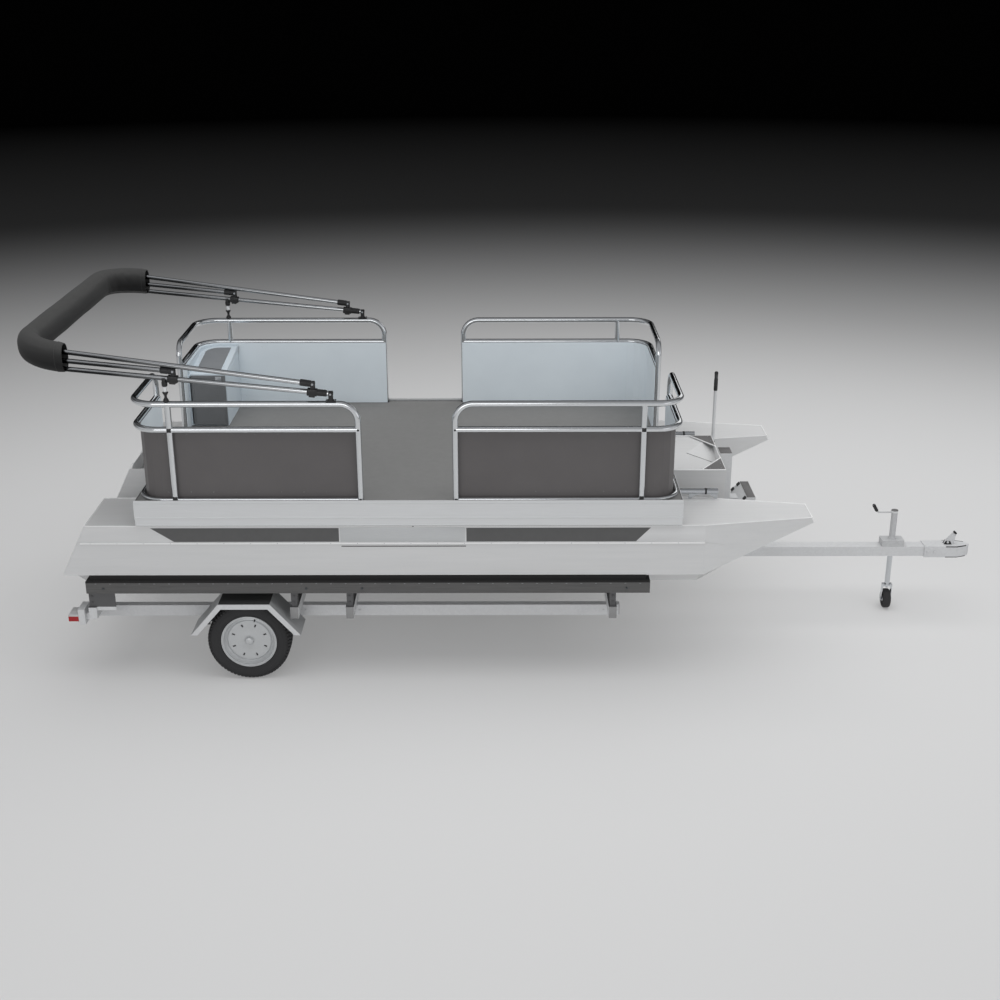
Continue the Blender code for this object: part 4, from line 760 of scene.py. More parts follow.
# Black strips along the upper and lower lips of the head.
trim = bmesh.new()
for side in (-1, 1):
    for low, high in ((0.5255, 0.5325), (0.4425, 0.4475)):
        edge = [on_road(x, side * y, 0) for x, y in ((3.99, 0.0632), (4.076, 0.0632), (4.1495, 0.0362),
                                                     (4.1475, 0.0325), (4.0745, 0.0595), (3.99, 0.0595))]
        slab(trim, edge, 2, low, high)
piece("coupling_black_lip_strips", trim, moulded_black, "black_plastic")
ears = bmesh.new()
for side in (-1, 1):
    outline = [on_road(x, 0, z) for x, z in ((3.985, 0.5312), (4.045, 0.5312), (4.032, 0.556), (4.0, 0.560))]
    slab(ears, outline, 1, side * 0.0125, side * 0.0165)
tip = [on_road(x, 0, z) for x, z in ((4.0685, 0.612), (4.0775, 0.6205), (4.0625, 0.6325), (4.0535, 0.622))]
slab(ears, tip, 1, -0.016, 0.016)
piece("coupling_lever_ears", ears, moulded_black, "black_plastic")

# Jack and jockey wheel
# A chromed screw leg in a plated tube that stands on the drawbar, with a grey cap and a moulded crank grip,
# and a narrow solid-rubber wheel in a bright fork.

# Older plating shows the same crystals, a little greyer.
jack_zinc, *_ = galvanised("plated_jack_tube", "#cbcccd", "#bfc0c1")
give(jack_zinc, "jack_tube")
# Chrome mirrors the studio with soft edges, from a ripple too faint to see by itself.
chrome = clouded("bright_chrome_plate", 0.01, "#c4c7ca", "#d8dbde", (0.09, 0.18), 0.02, metallic=1)
give(chrome, "jack_leg", "jockey_fork")
JACK_X, JACK_TOP, JOCKEY_Z = 3.59, 0.798, 0.075
cap = bmesh.new()
turned(cap, on_road(JACK_X, 0, JACK_TOP), 2,
       ((-0.010, 0.0232), (-0.010, 0.0262), (0.006, 0.0262), (0.0095, 0.0235), (0.011, 0.012), (0.011, 0),
        (0.0093, 0), (0.0093, 0.0232)), 32)
piece("jack_cap", cap, grey_paint, "black_plastic")
grip_low, grip_high = on_road(JACK_X - 0.135, 0, 0.800), on_road(JACK_X - 0.165, 0, 0.851)
lean = (grip_high - grip_low).to_track_quat("Z", "Y").to_matrix().to_4x4()
grip = bmesh.new()
turned(grip, Vector(), 2, ((-0.002, 0), (-0.002, 0.0105), (0.004, 0.0122), (0.020, 0.0125), (0.034, 0.0118),
                           (0.050, 0.0128), (0.058, 0.0115), (0.0615, 0.006), (0.0615, 0)), 24)
grip.transform(Matrix.Translation(grip_low) @ lean)
piece("jack_crank_grip", grip, moulded_black, "black_plastic")
collar = bmesh.new()
turned(collar, on_road(JACK_X, 0, 0.581), 2,
       ((-0.006, 0.0233), (-0.006, 0.031), (0.006, 0.0285), (0.008, 0.0233)), 32)
piece("jack_collar", collar, jack_zinc, "galvanised_steel")
jockey = bmesh.new()
section = ((0.0265, 0.0088), (0.0265, 0.030), (0.0195, 0.034), (0.0190, 0.048), (0.0262, 0.052),
           (0.0272, 0.060), (0.0235, 0.0695), (0.0150, 0.0742), (0, 0.075))
turned(jockey, on_road(JACK_X, 0, JOCKEY_Z), 0,
       [(-a, r) for a, r in section] + [(a, r) for a, r in reversed(section[:-1])], 64)
piece("jockey_tyre", jockey, rubber, "tyre_rubber", ("jockey_wheel",), 25, body="jockey_wheel")
hub = bmesh.new()
for end in (-1, 1):
    turned(hub, on_road(JACK_X, 0, JOCKEY_Z), 0,
           [(end * a, r) for a, r in ((0.0262, 0.0088), (0.0262, 0.022), (0.0280, 0.0205), (0.0285, 0.012),
                                      (0.0285, 0.0088))], 32)
piece("jockey_hub_discs", hub, chrome, "galvanised_steel", body="jockey_wheel")
axle_nuts = [(on_road(JACK_X + end * 0.0375, 0, JOCKEY_Z), turn) for end, turn in ((1, FORWARD), (-1, AFT))]
dotted("jockey_axle_nuts", bolts, axle_nuts, bright_zinc, "galvanised_steel", radius=0.009, tall=0.005,
       body="jockey_fork")

# Pontoons
# Hulls folded from aluminium sheet and welded along their edges, mill finish gone slightly cloudy, each with
# a rolled rub strip, a dark film stripe in two lengths and a bare plate between them.

# Rolled sheet is pale and half dull, with its cloudiness drawn out along the hull.
hull_skin = clouded("mill_finish_aluminium_sheet", 0.03, "#d1d2d2", "#dddddd", (0.36, 0.5), 0.03,
                    metallic=0.2, stretch=(0.05, 1, 1))
give(hull_skin, "deck_channels")
crisp(hull_skin, "hull_aluminium", 15, "pontoon_starboard", "pontoon_port")
crisp(hull_skin, "hull_aluminium", 8, "bow_pod", "stern_pod")
WAVE_LENGTH = math.tau / 20  # of a wave texture at scale 1


def ribs(tree, space, pitch, way, wander):
    """Ridges at a pitch in metres that lie across one way, a little uneven."""
    return add(tree, "ShaderNodeTexWave", {
        "Vector": space, "Scale": WAVE_LENGTH / pitch, "Distortion": wander,
    }, bands_direction=way).outputs["Fac"]


# Weld metal is a little whiter than the sheet beside it. Its near white also lays a painted highlight along
# the hull's edges, rub strips and nose plates.
weld_bead_and_painted_highlight, tree, shader = finish_of("aluminium_weld_with_painted_highlight", "#f4f4f4", 0.4, 0.2)
# Ripples of a hand-run bead.
emboss(tree, shader, ribs(tree, pattern_space(tree), 0.00789, "X", 1.5), 0.5, 0.0006)
HULL_Y, HULL_MID_Y, HULL_HALF, NOSE_HALF = 1.13, 0.87, 0.26, 0.126
HULL_TOP, HULL_LOW, STERN_TOP_X, STERN_LOW_X, KNUCKLE_X, TIP_X = -0.17, -0.53, -2.18, -2.36, 1.99, 2.73
STRIPE_TOP, STRIPE_LOW, INNER, OUTER = -0.186, -0.2855, HULL_Y - 0.0002, HULL_Y + 0.0008
# Cast film lies flat, so its gloss is even.
stripe_film = clouded("cast_vinyl_stripe_film", 0.05, "#525252", "#5c5c5c", (0.34, 0.44), 0.02)
# Brushing along the plate smears the gloss across it.
plate_metal = clouded("brushed_bare_plate", 0.002, "#c0c2c3", "#d3d5d6", (0.26, 0.38), 0.05, metallic=0.6,
                      stretch=(0.03, 1, 1))
for name, side in SIDES:
    film = bmesh.new()
    # X of each length's upper back, upper front, lower front and lower back corners, and the line under the
    # plate
    for xs, top, low in (((-1.739, -0.474, -0.474, -1.586), STRIPE_TOP, STRIPE_LOW),
                         ((0.383, 1.621, 1.524, 0.383), STRIPE_TOP, STRIPE_LOW),
                         ((-0.46, 0.38, 0.38, -0.46), -0.3155, -0.3225)):
        outline = [aboard(x, 0, z) for x, z in zip(xs, (top, top, low, low))]
        slab(film, outline, 1, side * INNER, side * OUTER)
    piece("hull_stripe_" + name, film, stripe_film, "black_plastic")
    strip = bmesh.new()
    block(strip, aboard(-2.22, side * (HULL_Y + 0.0078), -0.3002),
          aboard(KNUCKLE_X, side * (HULL_Y + 0.0086), -0.2898), 0.0003)
    piece("rub_strip_face_" + name, strip, weld_bead_and_painted_highlight, "trim_aluminium")
    plate = bmesh.new()
    block(plate, aboard(-0.466, side * INNER, STRIPE_LOW), aboard(0.375, side * (HULL_Y + 0.0016), -0.184),
          0.0006)
    piece("hull_plate_" + name, plate, plate_metal, "trim_aluminium")
    beads, seams = [], []
    for edge in (-1, 1):
        y, tip_y = side * (HULL_MID_Y + edge * HULL_HALF), side * (HULL_MID_Y + edge * NOSE_HALF)
        stern, low_stern = aboard(STERN_TOP_X, y, HULL_TOP), aboard(STERN_LOW_X, y, HULL_LOW)
        beads.append([(stern, 0), (aboard(KNUCKLE_X, y, HULL_TOP), 0), (aboard(TIP_X, tip_y, HULL_TOP), 0)])
        seams.append([(stern, 0), (low_stern, 0)])
        seams.append([(low_stern, 0), (aboard(KNUCKLE_X, y, HULL_LOW), 0),
                      (aboard(TIP_X + 0.014, tip_y, HULL_TOP - 0.035), 0)])
    beads.append([(aboard(STERN_TOP_X, side * (HULL_MID_Y + edge * HULL_HALF), HULL_TOP), 0)
                  for edge in (-1, 1)])
    bars("hull_weld_beads_" + name, beads, weld_bead_and_painted_highlight, "hull_aluminium", 0.0028)
    bars("hull_low_seams_" + name, seams, hull_skin, "hull_aluminium", 0.0022)
    nose = bmesh.new()
    outline = [aboard(TIP_X + x, 0, HULL_TOP + z)
               for x, z in ((-0.004, 0.003), (0.004, 0.003), (0.0215, -0.0405), (0.0125, -0.0405))]
    slab(nose, outline, 1, side * (HULL_MID_Y - 0.128), side * (HULL_MID_Y + 0.128))
    piece("nose_plate_" + name, nose, weld_bead_and_painted_highlight, "hull_aluminium")
    plug = bmesh.new()
    turned(plug, aboard(-2.3465, side * HULL_MID_Y, -0.50), 0,
           ((0.01, 0), (0.01, 0.019), (-0.004, 0.018), (-0.006, 0.012), (-0.012, 0.0115), (-0.013, 0.009),
            (-0.013, 0)), 24)
    piece("drain_plug_" + name, plug, moulded_black, "black_plastic")


def rivet(tree, sizes):
    """The domed head of a blind rivet, with the hole of its mandrel as a small flat."""
    head = add(tree, "GeometryNodeMeshUVSphere", {"Segments": 10, "Rings": 6, "Radius": sizes["radius"]})
    flat = add(tree, "ShaderNodeCombineXYZ", {"X": 1.0, "Y": 1.0, "Z": 0.45})
    return add(tree, "GeometryNodeTransform", {"Geometry": head.outputs["Mesh"],
                                               "Scale": flat.outputs[0]}).outputs[0]


rivets = placed_tree("blind_rivets", rivet, radius=0.0045)
# Pressed heads catch the light at one point each.
rivet_metal = clouded("blind_rivet_aluminium", 0.003, "#a7aaac", "#c1c4c6", (0.25, 0.38), 0.03, metallic=0.9)
strip_rivets = [(aboard(-2.15 + 0.18 * k, side * (HULL_Y + 0.0085), -0.295), OUTWARD[side])
                for _, side in SIDES for k in range(23)]
dotted("rub_strip_rivets", rivets, strip_rivets, rivet_metal, "trim_aluminium", radius=0.003)

# Deck, channels and edge extrusions
# Woven vinyl glued to the panel, between satin anodised extrusions that are riveted through their
# middle face.

# A weave breaks up the gloss, so the deck is one quiet matt grey.
vinyl, tree, shader = finish_of("woven_deck_vinyl", "#787877", 0.85)
space = pattern_space(tree)
mottle(tree, shader, space, 0.05, "#727271", "#7f7f7e", (0.8, 0.95))
# Strands of the weave, 10 mm apart each way.
warp, weft = [ribs(tree, space, 0.00986, way, 0.4) for way in ("X", "Y")]
emboss(tree, shader, maths(tree, "MAXIMUM", warp, weft), 0.35, 0.0008)
give(vinyl, "deck")
# Etching before anodising gives one broad soft highlight, with faint lines from the die.
satin = clouded("satin_anodised_extrusion", 0.004, "#d4d5d6", "#e1e3e4", (0.28, 0.38), 0.03, metallic=0.4,
                stretch=(0.02, 1, 1))
give(satin, "fascia_starboard", "fascia_port", "end_trim_aft", "end_trim_fore", "light_pole")
give(chrome, "brace_tube_starboard", "brace_tube_port")
# Rubbery filler shows as a dark line without gloss. The same dark line along the bow well's crease is painted
# shade.
joint_filler_and_crease_shade = clouded("dark_butyl_joint_and_crease_shade", 0.01, "#242425", "#323233", (0.5, 0.7), 0.1)
joints = bmesh.new()
for _, side in SIDES:
    block(joints, aboard(-1.826, side * 1.1375, 0.0001), aboard(1.826, side * 1.1408, 0.0028), 0.0005)
    block(joints, aboard(-1.829, side * 1.1305, -0.1652), aboard(1.829, side * 1.1442, -0.1622), 0.0005)
for end in (-1, 1):
    block(joints, aboard(end * 1.8258, -1.137, 0.0001), aboard(end * 1.8295, 1.137, 0.0022), 0.0005)
piece("deck_edge_joints", joints, joint_filler_and_crease_shade, "black_plastic")
side_face_y, end_face_x = 1.1453, 1.8347
edge_rivets = [(aboard(-1.78 + 0.2967 * k, side * side_face_y, -0.055), OUTWARD[side])
               for _, side in SIDES for k in range(13)]
edge_rivets += [(aboard(end * end_face_x, -1.05 + 0.3 * k, -0.06), FORWARD if end > 0 else AFT)
                for end in (-1, 1) for k in range(8)]
dotted("edge_rivets", rivets, edge_rivets, satin, "trim_aluminium", radius=0.004)
# Painted shade: a black disc on the hull stands for the dark inside of a drain hole.
spot = bmesh.new()
turned(spot, aboard(0.025, -1.1308, -0.1735), 1,
       ((-0.0012, 0), (-0.0012, 0.005), (0.001, 0.005), (0.001, 0)), 16)
piece("hull_drain_hole_painted_shade", spot, moulded_black, "black_plastic")

# Bow well, gussets, light and brace tubes
# Folded sheet between the noses, with painted corner gussets and a dark line of painted shade along the
# crease in its floor; a round light on an aluminium pole; a chromed stub tube on its saddle on each pontoon,
# with a black ring where it is clamped.
give(grey_paint, "pod_gusset_starboard", "pod_gusset_port")
pod_front, pod_top, pod_half = 2.2296, -0.05, 0.3785
pod_rivets = []
for side in (-1, 1):
    for along, across in ((-0.03, 0.35), (-0.11, 0.355), (-0.02, 0.25), (-0.02, 0.17)):
        pod_rivets.append((aboard(pod_front + along, side * across, pod_top + 0.0045), UP))
pod_rivets += [(aboard(pod_front + 0.0002, -0.33 + 0.11 * k, -0.08), FORWARD) for k in range(7)]
dotted("bow_well_rivets", rivets, pod_rivets, rivet_metal, "trim_aluminium", radius=0.0045)
rims = []
for side in (-1, 1):
    rims.append([(aboard(1.8346, side * pod_half, pod_top), 0),
                 (aboard(pod_front - 0.002, side * pod_half, pod_top), 0)])
rims.append([(aboard(pod_front - 0.0015, -pod_half, pod_top), 0),
             (aboard(pod_front - 0.0015, pod_half, pod_top), 0)])
for side in (-1, 1):
    rims.append([(aboard(pod_front - 0.167, side * pod_half, pod_top + 0.003), 0),
                 (aboard(pod_front - 0.002, side * 0.133, pod_top + 0.003), 0)])
bars("bow_well_beads", rims, weld_bead_and_painted_highlight, "hull_aluminium", 0.005)
# Painted shade: a dark line laid along the crease of the well's floor.
crease = [(aboard(1.995, 0, -0.0562), 0), (aboard(pod_front - 0.006, 0, -0.1412), 0)]
bars("bow_well_crease_painted_shade", [crease], joint_filler_and_crease_shade, "black_plastic", 0.003)
# Moulded plastic, black with a soft gloss.
lamp_head = clouded("moulded_black_lamp_housing", 0.004, "#171718", "#252526", (0.34, 0.48), 0.06)
# Smoked plastic is dark and glassy.
globe = clouded("smoked_lamp_lens", 0.004, "#313233", "#404142", (0.1, 0.2), 0.05, Coat_Weight=0.4)
lamp_x, lamp_y = 2.2419, 0.3596
lamp_foot = aboard(lamp_x, lamp_y, 0.3203)
head, lens = bmesh.new(), bmesh.new()
for shape, profile in (
        (head, ((0, 0), (0, 0.0138), (0.004, 0.0145), (0.092, 0.0145), (0.095, 0.0125), (0.095, 0))),
        (head, ((0.1262, 0), (0.1262, 0.0143), (0.138, 0.0145), (0.1455, 0.0125), (0.1488, 0.007),
                (0.1495, 0))),
        (lens, ((0.0952, 0), (0.0952, 0.0128), (0.097, 0.0134), (0.111, 0.0137), (0.124, 0.0134),
                (0.126, 0.0128), (0.126, 0)))):
    turned(shape, lamp_foot, 2, profile, 32)
piece("all_round_light_housing", head, lamp_head, "black_plastic", ("all_round_light",))
piece("all_round_light_lens", lens, globe, "trim_aluminium")
pole_clips = bmesh.new()
for z in (-0.09, -0.145):
    block(pole_clips, aboard(2.2300, lamp_y - 0.022, z - 0.008), aboard(2.2325, lamp_y + 0.022, z + 0.008),
          0.0006)
    turned(pole_clips, aboard(lamp_x, lamp_y, z), 2,
           ((-0.008, 0.0121), (-0.008, 0.0142), (0.008, 0.0142), (0.008, 0.0121)), 24)
piece("light_pole_clips", pole_clips, moulded_black, "black_plastic")
rings, blocks = bmesh.new(), bmesh.new()
for side in (-1, 1):
    y, z = side * 0.629, -0.117
    turned(rings, aboard(2.054, y, z), 0,
           ((-0.006, 0.0191), (-0.006, 0.0222), (0.006, 0.0222), (0.006, 0.0191)), 32)
    turned(blocks, aboard(2.098, y, z), 0,
           ((-0.032, 0.0191), (-0.032, 0.0212), (0.0405, 0.0212), (0.0418, 0.0195), (0.0418, 0),
            (0.0400, 0), (0.0400, 0.0191)), 32)
piece("brace_tube_rings", rings, moulded_black, "black_plastic")
piece("brace_tube_ends", blocks, chrome, "trim_aluminium")

# Stern pod
# The raked motor board, edged in bright sheet, with a pressed clamp plate on its outer face.
board = bmesh.new()
BOARD_X, BOARD_TOP, BOARD_HALF, BOARD_LOW = -2.0596, -0.05, 0.338, -0.47
RAKE, LEAN = 0.5, 26.57  # metres back for each metre down, and the same in degrees from upright
outline = [aboard(BOARD_X - RAKE * (BOARD_TOP - z) - depth, 0, z)
           for z, depth in ((-0.075, 0.0002), (-0.075, 0.0042), (-0.185, 0.0042), (-0.185, 0.0002))]
slab(board, outline, 1, -0.15, 0.15)
piece("motor_clamp_plate", board, plate_metal, "hull_aluminium")
corners = [aboard(BOARD_X, side * BOARD_HALF, BOARD_TOP) for side in (-1, 1)]
feet = [aboard(BOARD_X - RAKE * (BOARD_TOP - BOARD_LOW), side * BOARD_HALF, BOARD_LOW) for side in (-1, 1)]
rims = [[(a, 0), (b, 0)] for a, b in (corners, (corners[0], feet[0]), (corners[1], feet[1]))]
bars("stern_pod_beads", rims, weld_bead_and_painted_highlight, "hull_aluminium", 0.0026)
board_bolts = [(aboard(BOARD_X - 0.0084 - RAKE * (BOARD_TOP - z), y, z), (0, -math.radians(90 - LEAN), 0))
               for y in (-0.12, 0.12) for z in (-0.095, -0.165)]
dotted("motor_plate_bolts", bolts, board_bolts, bright_zinc, "galvanised_steel", radius=0.007, tall=0.006)

# Fence frames
# Round aluminium tube, bent cold and bright anodised; posts, rails and hoops meet in coped and welded joints.

# Tube that was polished before anodising is nearly a mirror, a little softened.
bright_tube = clouded("bright_anodised_tube", 0.01, "#d8dbdd", "#e4e6e8", (0.11, 0.19), 0.015, metallic=1)
FENCE_L, FENCE_W, END_Y, GATE, TUBE = 1.803, 1.118, 0.38, 0.317, 0.021
TOP_RAIL, MID_RAIL, BASE_RAIL, SECOND_X = 0.68, 0.505, 0.0213, 1.551
ENDS = (("aft", -1), ("fore", 1))
sockets = bmesh.new()
for side_name, side in SIDES:
    for end_name, end in ENDS:
        def there(x, y, z):
            """A place in this quarter of the deck, given as if it were the port bow's."""
            return aboard(end * x, side * y, z)

        def level_run(z, bend):
            """A rail at one height, from the gate round the corner to the end's gap."""
            return [(there(GATE, FENCE_W, z), 0), (there(FENCE_L, FENCE_W, z), bend),
                    (there(FENCE_L, END_Y, z), 0)]

        hoop = [(there(GATE, FENCE_W, 0.0003), 0), (there(GATE, FENCE_W, TOP_RAIL), 0.12),
                (there(FENCE_L, FENCE_W, TOP_RAIL), 0.17), (there(FENCE_L, END_Y, TOP_RAIL), 0.1),
                (there(FENCE_L, END_Y, 0.0003), 0)]
        second = [(there(SECOND_X, FENCE_W, 0.0003), 0), (there(SECOND_X, FENCE_W, TOP_RAIL), 0)]
        section = side_name + "_" + end_name
        bars("fence_tubes_" + section, [hoop, level_run(MID_RAIL, 0.17), second], bright_tube, "fence_tube",
             TUBE - 0.0001, 32, 16, stands_for=("fence_frame_" + section,), degrees=50)
        bars("fence_base_rail_" + section, [level_run(0.0142, 0.17)], bright_tube, "fence_tube", 0.0138, 24,
             16, degrees=50)
        # Black nylon saddles hold the second post at the mid rail and at its foot, and the posts stand in
        # flanges.
        for z, half in ((MID_RAIL, 0.013), (BASE_RAIL + 0.008, 0.012)):
            block(sockets, there(SECOND_X - 0.0145, FENCE_W + 0.012, z - half),
                  there(SECOND_X + 0.0145, FENCE_W + TUBE + 0.0035, z + half), 0.003)
        for x, z in ((GATE - 0.0005, MID_RAIL), (GATE - 0.0005, BASE_RAIL)):
            turned(sockets, there(x, FENCE_W + TUBE - 0.001, z), 1,
                   ((0, 0), (0, 0.0075), (side * 0.003, 0.0065), (side * 0.0036, 0)), 20)
        for x, y in ((GATE, FENCE_W), (FENCE_L, END_Y), (SECOND_X, FENCE_W)):
            turned(sockets, there(x, y, 0), 2,
                   ((0.0002, TUBE), (0.0002, 0.0228), (0.012, 0.0224), (0.0135, TUBE)), 32)
piece("fence_post_flanges", sockets, moulded_black, "black_plastic")

# Fence panels
# Pre-painted aluminium sheet, charcoal outside and pale blue-grey inside, riveted to the tubes every 150 mm.

# Baked paint is even and half gloss, with hardly any texture.
fence_paint, tree, shader = finish_of("two_tone_painted_sheet", "#5a5757", 0.4)
space = pattern_space(tree)
outside = mottle(tree, shader, space, 0.2, "#585555", "#625f5f", (0.36, 0.46), 0.015)
tone = add(tree, "ShaderNodeTexNoise", {"Vector": space, "Scale": 1 / 0.25})
inside = colour_mix(tree, tone.outputs["Fac"], "#e0e9ef", "#eaf3f8")
# A face that looks away from the middle of the deck is the outside.
where = add(tree, "ShaderNodeTexCoord")
centred = add(tree, "ShaderNodeVectorMath", {0: where.outputs["Object"], 1: (gate_x, 0, deck_z + 0.25)},
              operation="SUBTRACT")
facing = add(tree, "ShaderNodeVectorMath", {0: where.outputs["Normal"], 1: centred.outputs[0]},
             operation="DOT_PRODUCT")
out = maths(tree, "GREATER_THAN", facing.outputs["Value"], 0.0)
tree.links.new(colour_mix(tree, out, inside, outside), shader.inputs["Base Color"])
give(fence_paint, *[f"fence_panel_{side}_{end}" for side, _ in SIDES for end, _ in ENDS])
panel_y = FENCE_W - 0.0253
panel_rivets = []
for _, side in SIDES:
    for end in (-1, 1):
        for k in range(9):
            x = end * (0.40 + 0.15 * k)
            for z in (0.06, 0.468):
                panel_rivets.append((aboard(x, side * (panel_y + 0.0041), z), OUTWARD[side]))
                panel_rivets.append((aboard(x, side * (panel_y - 0.0002), z), OUTWARD[-side]))
dotted("fence_panel_rivets", rivets, panel_rivets, fence_paint, "fence_sheet", radius=0.0035)

# Corner locker
# A folded and powder-coated box that follows the fence's bend, pale outside, with a darker grey tray laid on
# its sloping lid, a flange up the fence behind it, and a dark door on a barrel hinge, shut by a small lever
# latch.

# Powder coats have an even colour and a half gloss; the dark one is a little glossier.
locker_coat = clouded("pale_powder_coat", 0.15, "#c4ced5", "#d1dbe2", (0.4, 0.5), 0.02)
dark_coat = clouded("dark_powder_coat", 0.1, "#6a6c6e", "#787a7c", (0.3, 0.4), 0.03)
give(locker_coat, "corner_locker")
give(dark_coat, "locker_door")
LOCKER_TOP, LOCKER_FACE_Y, LID_SLOPE = 0.41, 0.504, 0.12
LOCKER_FORE_X, LOCKER_AFT_X, LOCKER_IN_Y, LOCKER_OUT_Y = -1.4925, -1.7760, 0.5055, 1.0910
bend_middle = Vector((-1.633, 0.948))


def lid_at(x, y, up=0.0):
    """A place on the locker's lid, which rises towards the fence so that rain runs off."""
    return aboard(x, y, LOCKER_TOP + 0.0003 + LID_SLOPE * (y - LOCKER_FACE_Y) + up)


def round_bend(radius):
    """Places along the locker's back corner at a radius from the fence's bend."""
    turns = [math.pi / 2 * i / 10 for i in range(11)]
    return [bend_middle + Vector((-math.sin(a), math.cos(a))) * radius for a in turns]


lid, tray, flange = bmesh.new(), bmesh.new(), bmesh.new()
cover = [Vector((LOCKER_FORE_X, LOCKER_IN_Y)), Vector((LOCKER_FORE_X, LOCKER_OUT_Y))]
cover += round_bend(0.143) + [Vector((LOCKER_AFT_X, LOCKER_IN_Y))]
sunk = [Vector((-1.535, 0.555)), Vector((-1.535, 1.045))] + round_bend(0.097) + [Vector((-1.730, 0.555))]
slab(lid, [aboard(p.x, p.y, 0) for p in cover], 2, deck_z + LOCKER_TOP, deck_z + LOCKER_TOP + 0.0003)
slab(tray, [aboard(p.x, p.y, 0) for p in sunk], 2, deck_z + LOCKER_TOP + 0.0003, deck_z + LOCKER_TOP + 0.0013)
for shape, lowest in ((lid, 0.0001), (tray, -1)):
    for corner in shape.verts:
        if corner.co.z - deck_z - LOCKER_TOP > lowest:
            corner.co.z += LID_SLOPE * (corner.co.y - LOCKER_FACE_Y)
backs = [Vector((LOCKER_FORE_X, LOCKER_OUT_Y))] + round_bend(0.143)
backs += [Vector((x, LOCKER_IN_Y)) for x in (LOCKER_AFT_X, LOCKER_AFT_X + 0.01)]
backs += list(reversed(round_bend(0.133))) + [Vector((LOCKER_FORE_X, LOCKER_OUT_Y - 0.01))]
slab(flange, [aboard(p.x, p.y, 0) for p in backs], 2, deck_z + LOCKER_TOP, deck_z + LOCKER_TOP + 0.083)
piece("locker_lid", lid, locker_coat, "trim_aluminium")
piece("locker_back_flange", flange, locker_coat, "trim_aluminium")
# The tray's coat is rougher, so it stays flat under the light.
tray_coat = clouded("grey_powder_coat", 0.1, "#777a7d", "#85888b", (0.45, 0.55), 0.03)
piece("locker_lid_tray", tray, tray_coat, "fence_sheet")
rim = [(lid_at(p.x, p.y, 0.002), 0.012) for p in sunk + sunk[:1]]
bars("locker_lid_lip", [rim], locker_coat, "trim_aluminium", 0.0035, 10, 3)
latch = bmesh.new()
y = 0.4892  # the door's outer face
block(latch, aboard(-1.568, y - 0.003, 0.345), aboard(-1.522, y - 0.0003, 0.396), 0.0012)
turned(latch, aboard(-1.545, y - 0.003, 0.3705), 1,
       ((-0.006, 0), (-0.006, 0.009), (-0.004, 0.0105), (0.001, 0.0105), (0.001, 0)), 24)
block(latch, aboard(-1.550, y - 0.0105, 0.352), aboard(-1.540, y - 0.0055, 0.388), 0.002)
piece("locker_latch", latch, bright_zinc, "galvanised_steel", body="locker_door")
stile = bmesh.new()
for low, high in (((-1.744, 0.016), (-1.502, 0.024)), ((-1.744, 0.386), (-1.576, 0.394)),
                  ((-1.744, 0.024), (-1.736, 0.386)), ((-1.510, 0.024), (-1.502, 0.386))):
    block(stile, aboard(low[0], y - 0.0018, low[1]), aboard(high[0], y + 0.0002, high[1]), 0.0007)
piece("locker_door_bead", stile, dark_coat, "fence_sheet", body="locker_door")
hinge_rivets = [(aboard(-1.7705, 0.4965, z), OUTWARD[-1]) for z in (0.05, 0.13, 0.205, 0.28, 0.36)]
dotted("locker_hinge_rivets", rivets, hinge_rivets, rivet_metal, "trim_aluminium", radius=0.003)

# Bimini bows and fittings
# Three bows of bright anodised tube lie back on each other; every end is plugged into a moulded black nylon
# eye that turns on its hinge or on a jaw slide clamped to the main bow.

# Nylon takes a little more gloss than the polyethylene caps.
nylon = clouded("moulded_black_nylon", 0.003, "#161617", "#232324", (0.36, 0.5), 0.08)
give(nylon, "deck_hinge_starboard", "deck_hinge_port")
BOW_RUN_X, BOW_RADIUS = -2.48, 0.0165
MAIN_X, MAIN_Z, MAIN_SLOPE = -0.486, 0.75, 0.0995
# (name, X and Z of the eye's pin, slope)
BOWS = (("main_bow", MAIN_X, MAIN_Z, MAIN_SLOPE), ("middle_bow", -1.494, 0.902, 0.1035),
        ("aux_bow", -0.600, 0.816, 0.1369))
# The same bright tube as the fence's.
bow_tube_with_painted_underside, tree, shader = finish_of("bow_tube_painted_dark_underside", "#dde0e2", 0.14, 1)
clean = mottle(tree, shader, pattern_space(tree), 0.01, "#d8dbdd", "#e4e6e8", (0.11, 0.19), 0.015)
# Painted shade and reflection: near the boot, the undersides of the bows are painted dark grey.
near = ramp(tree, own(tree, "Object", "X"), gate_x - 0.5, gate_x - 1.9)
under = ramp(tree, own(tree, "Normal", "Z"), 0.62, 0.28)
painted_underside_shade = colour_mix(tree, maths(tree, "MULTIPLY", near, under), clean, "#2a2b2c")
tree.links.new(painted_underside_shade, shader.inputs["Base Color"])


def bow_z(z, slope, from_x, x):
    """Height at x of a bow's leg that has a height z at from_x."""
    return z + slope * (from_x - x)


def drop_in(shape, small, matrix):
    """Moves a small bmesh to its place and adds it to a larger one."""
    small.transform(matrix)
    spare = bpy.data.meshes.new("spare")
    small.to_mesh(spare)
    small.free()
    shape.from_mesh(spare)
    bpy.data.meshes.remove(spare)


for name, x, z, slope in BOWS:
    run_z = bow_z(z, slope, x, BOW_RUN_X)
    # Each tube is pushed into the neck of its eye and ends short of the pin.
    start = x - (0.014 if name == "main_bow" else 0.002)
    path = []
    for px, side, pz, bend in ((start, -1, bow_z(z, slope, x, start), 0), (BOW_RUN_X, -1, run_z, 0.3),
                               (BOW_RUN_X, 1, run_z, 0.3), (start, 1, bow_z(z, slope, x, start), 0)):
        path.append((aboard(px, side * FENCE_W, pz), bend))
    bars(name + "_tube", [path], bow_tube_with_painted_underside, "fence_tube", BOW_RADIUS, 32, 20, stands_for=(name,), degrees=50,
         body="bimini")

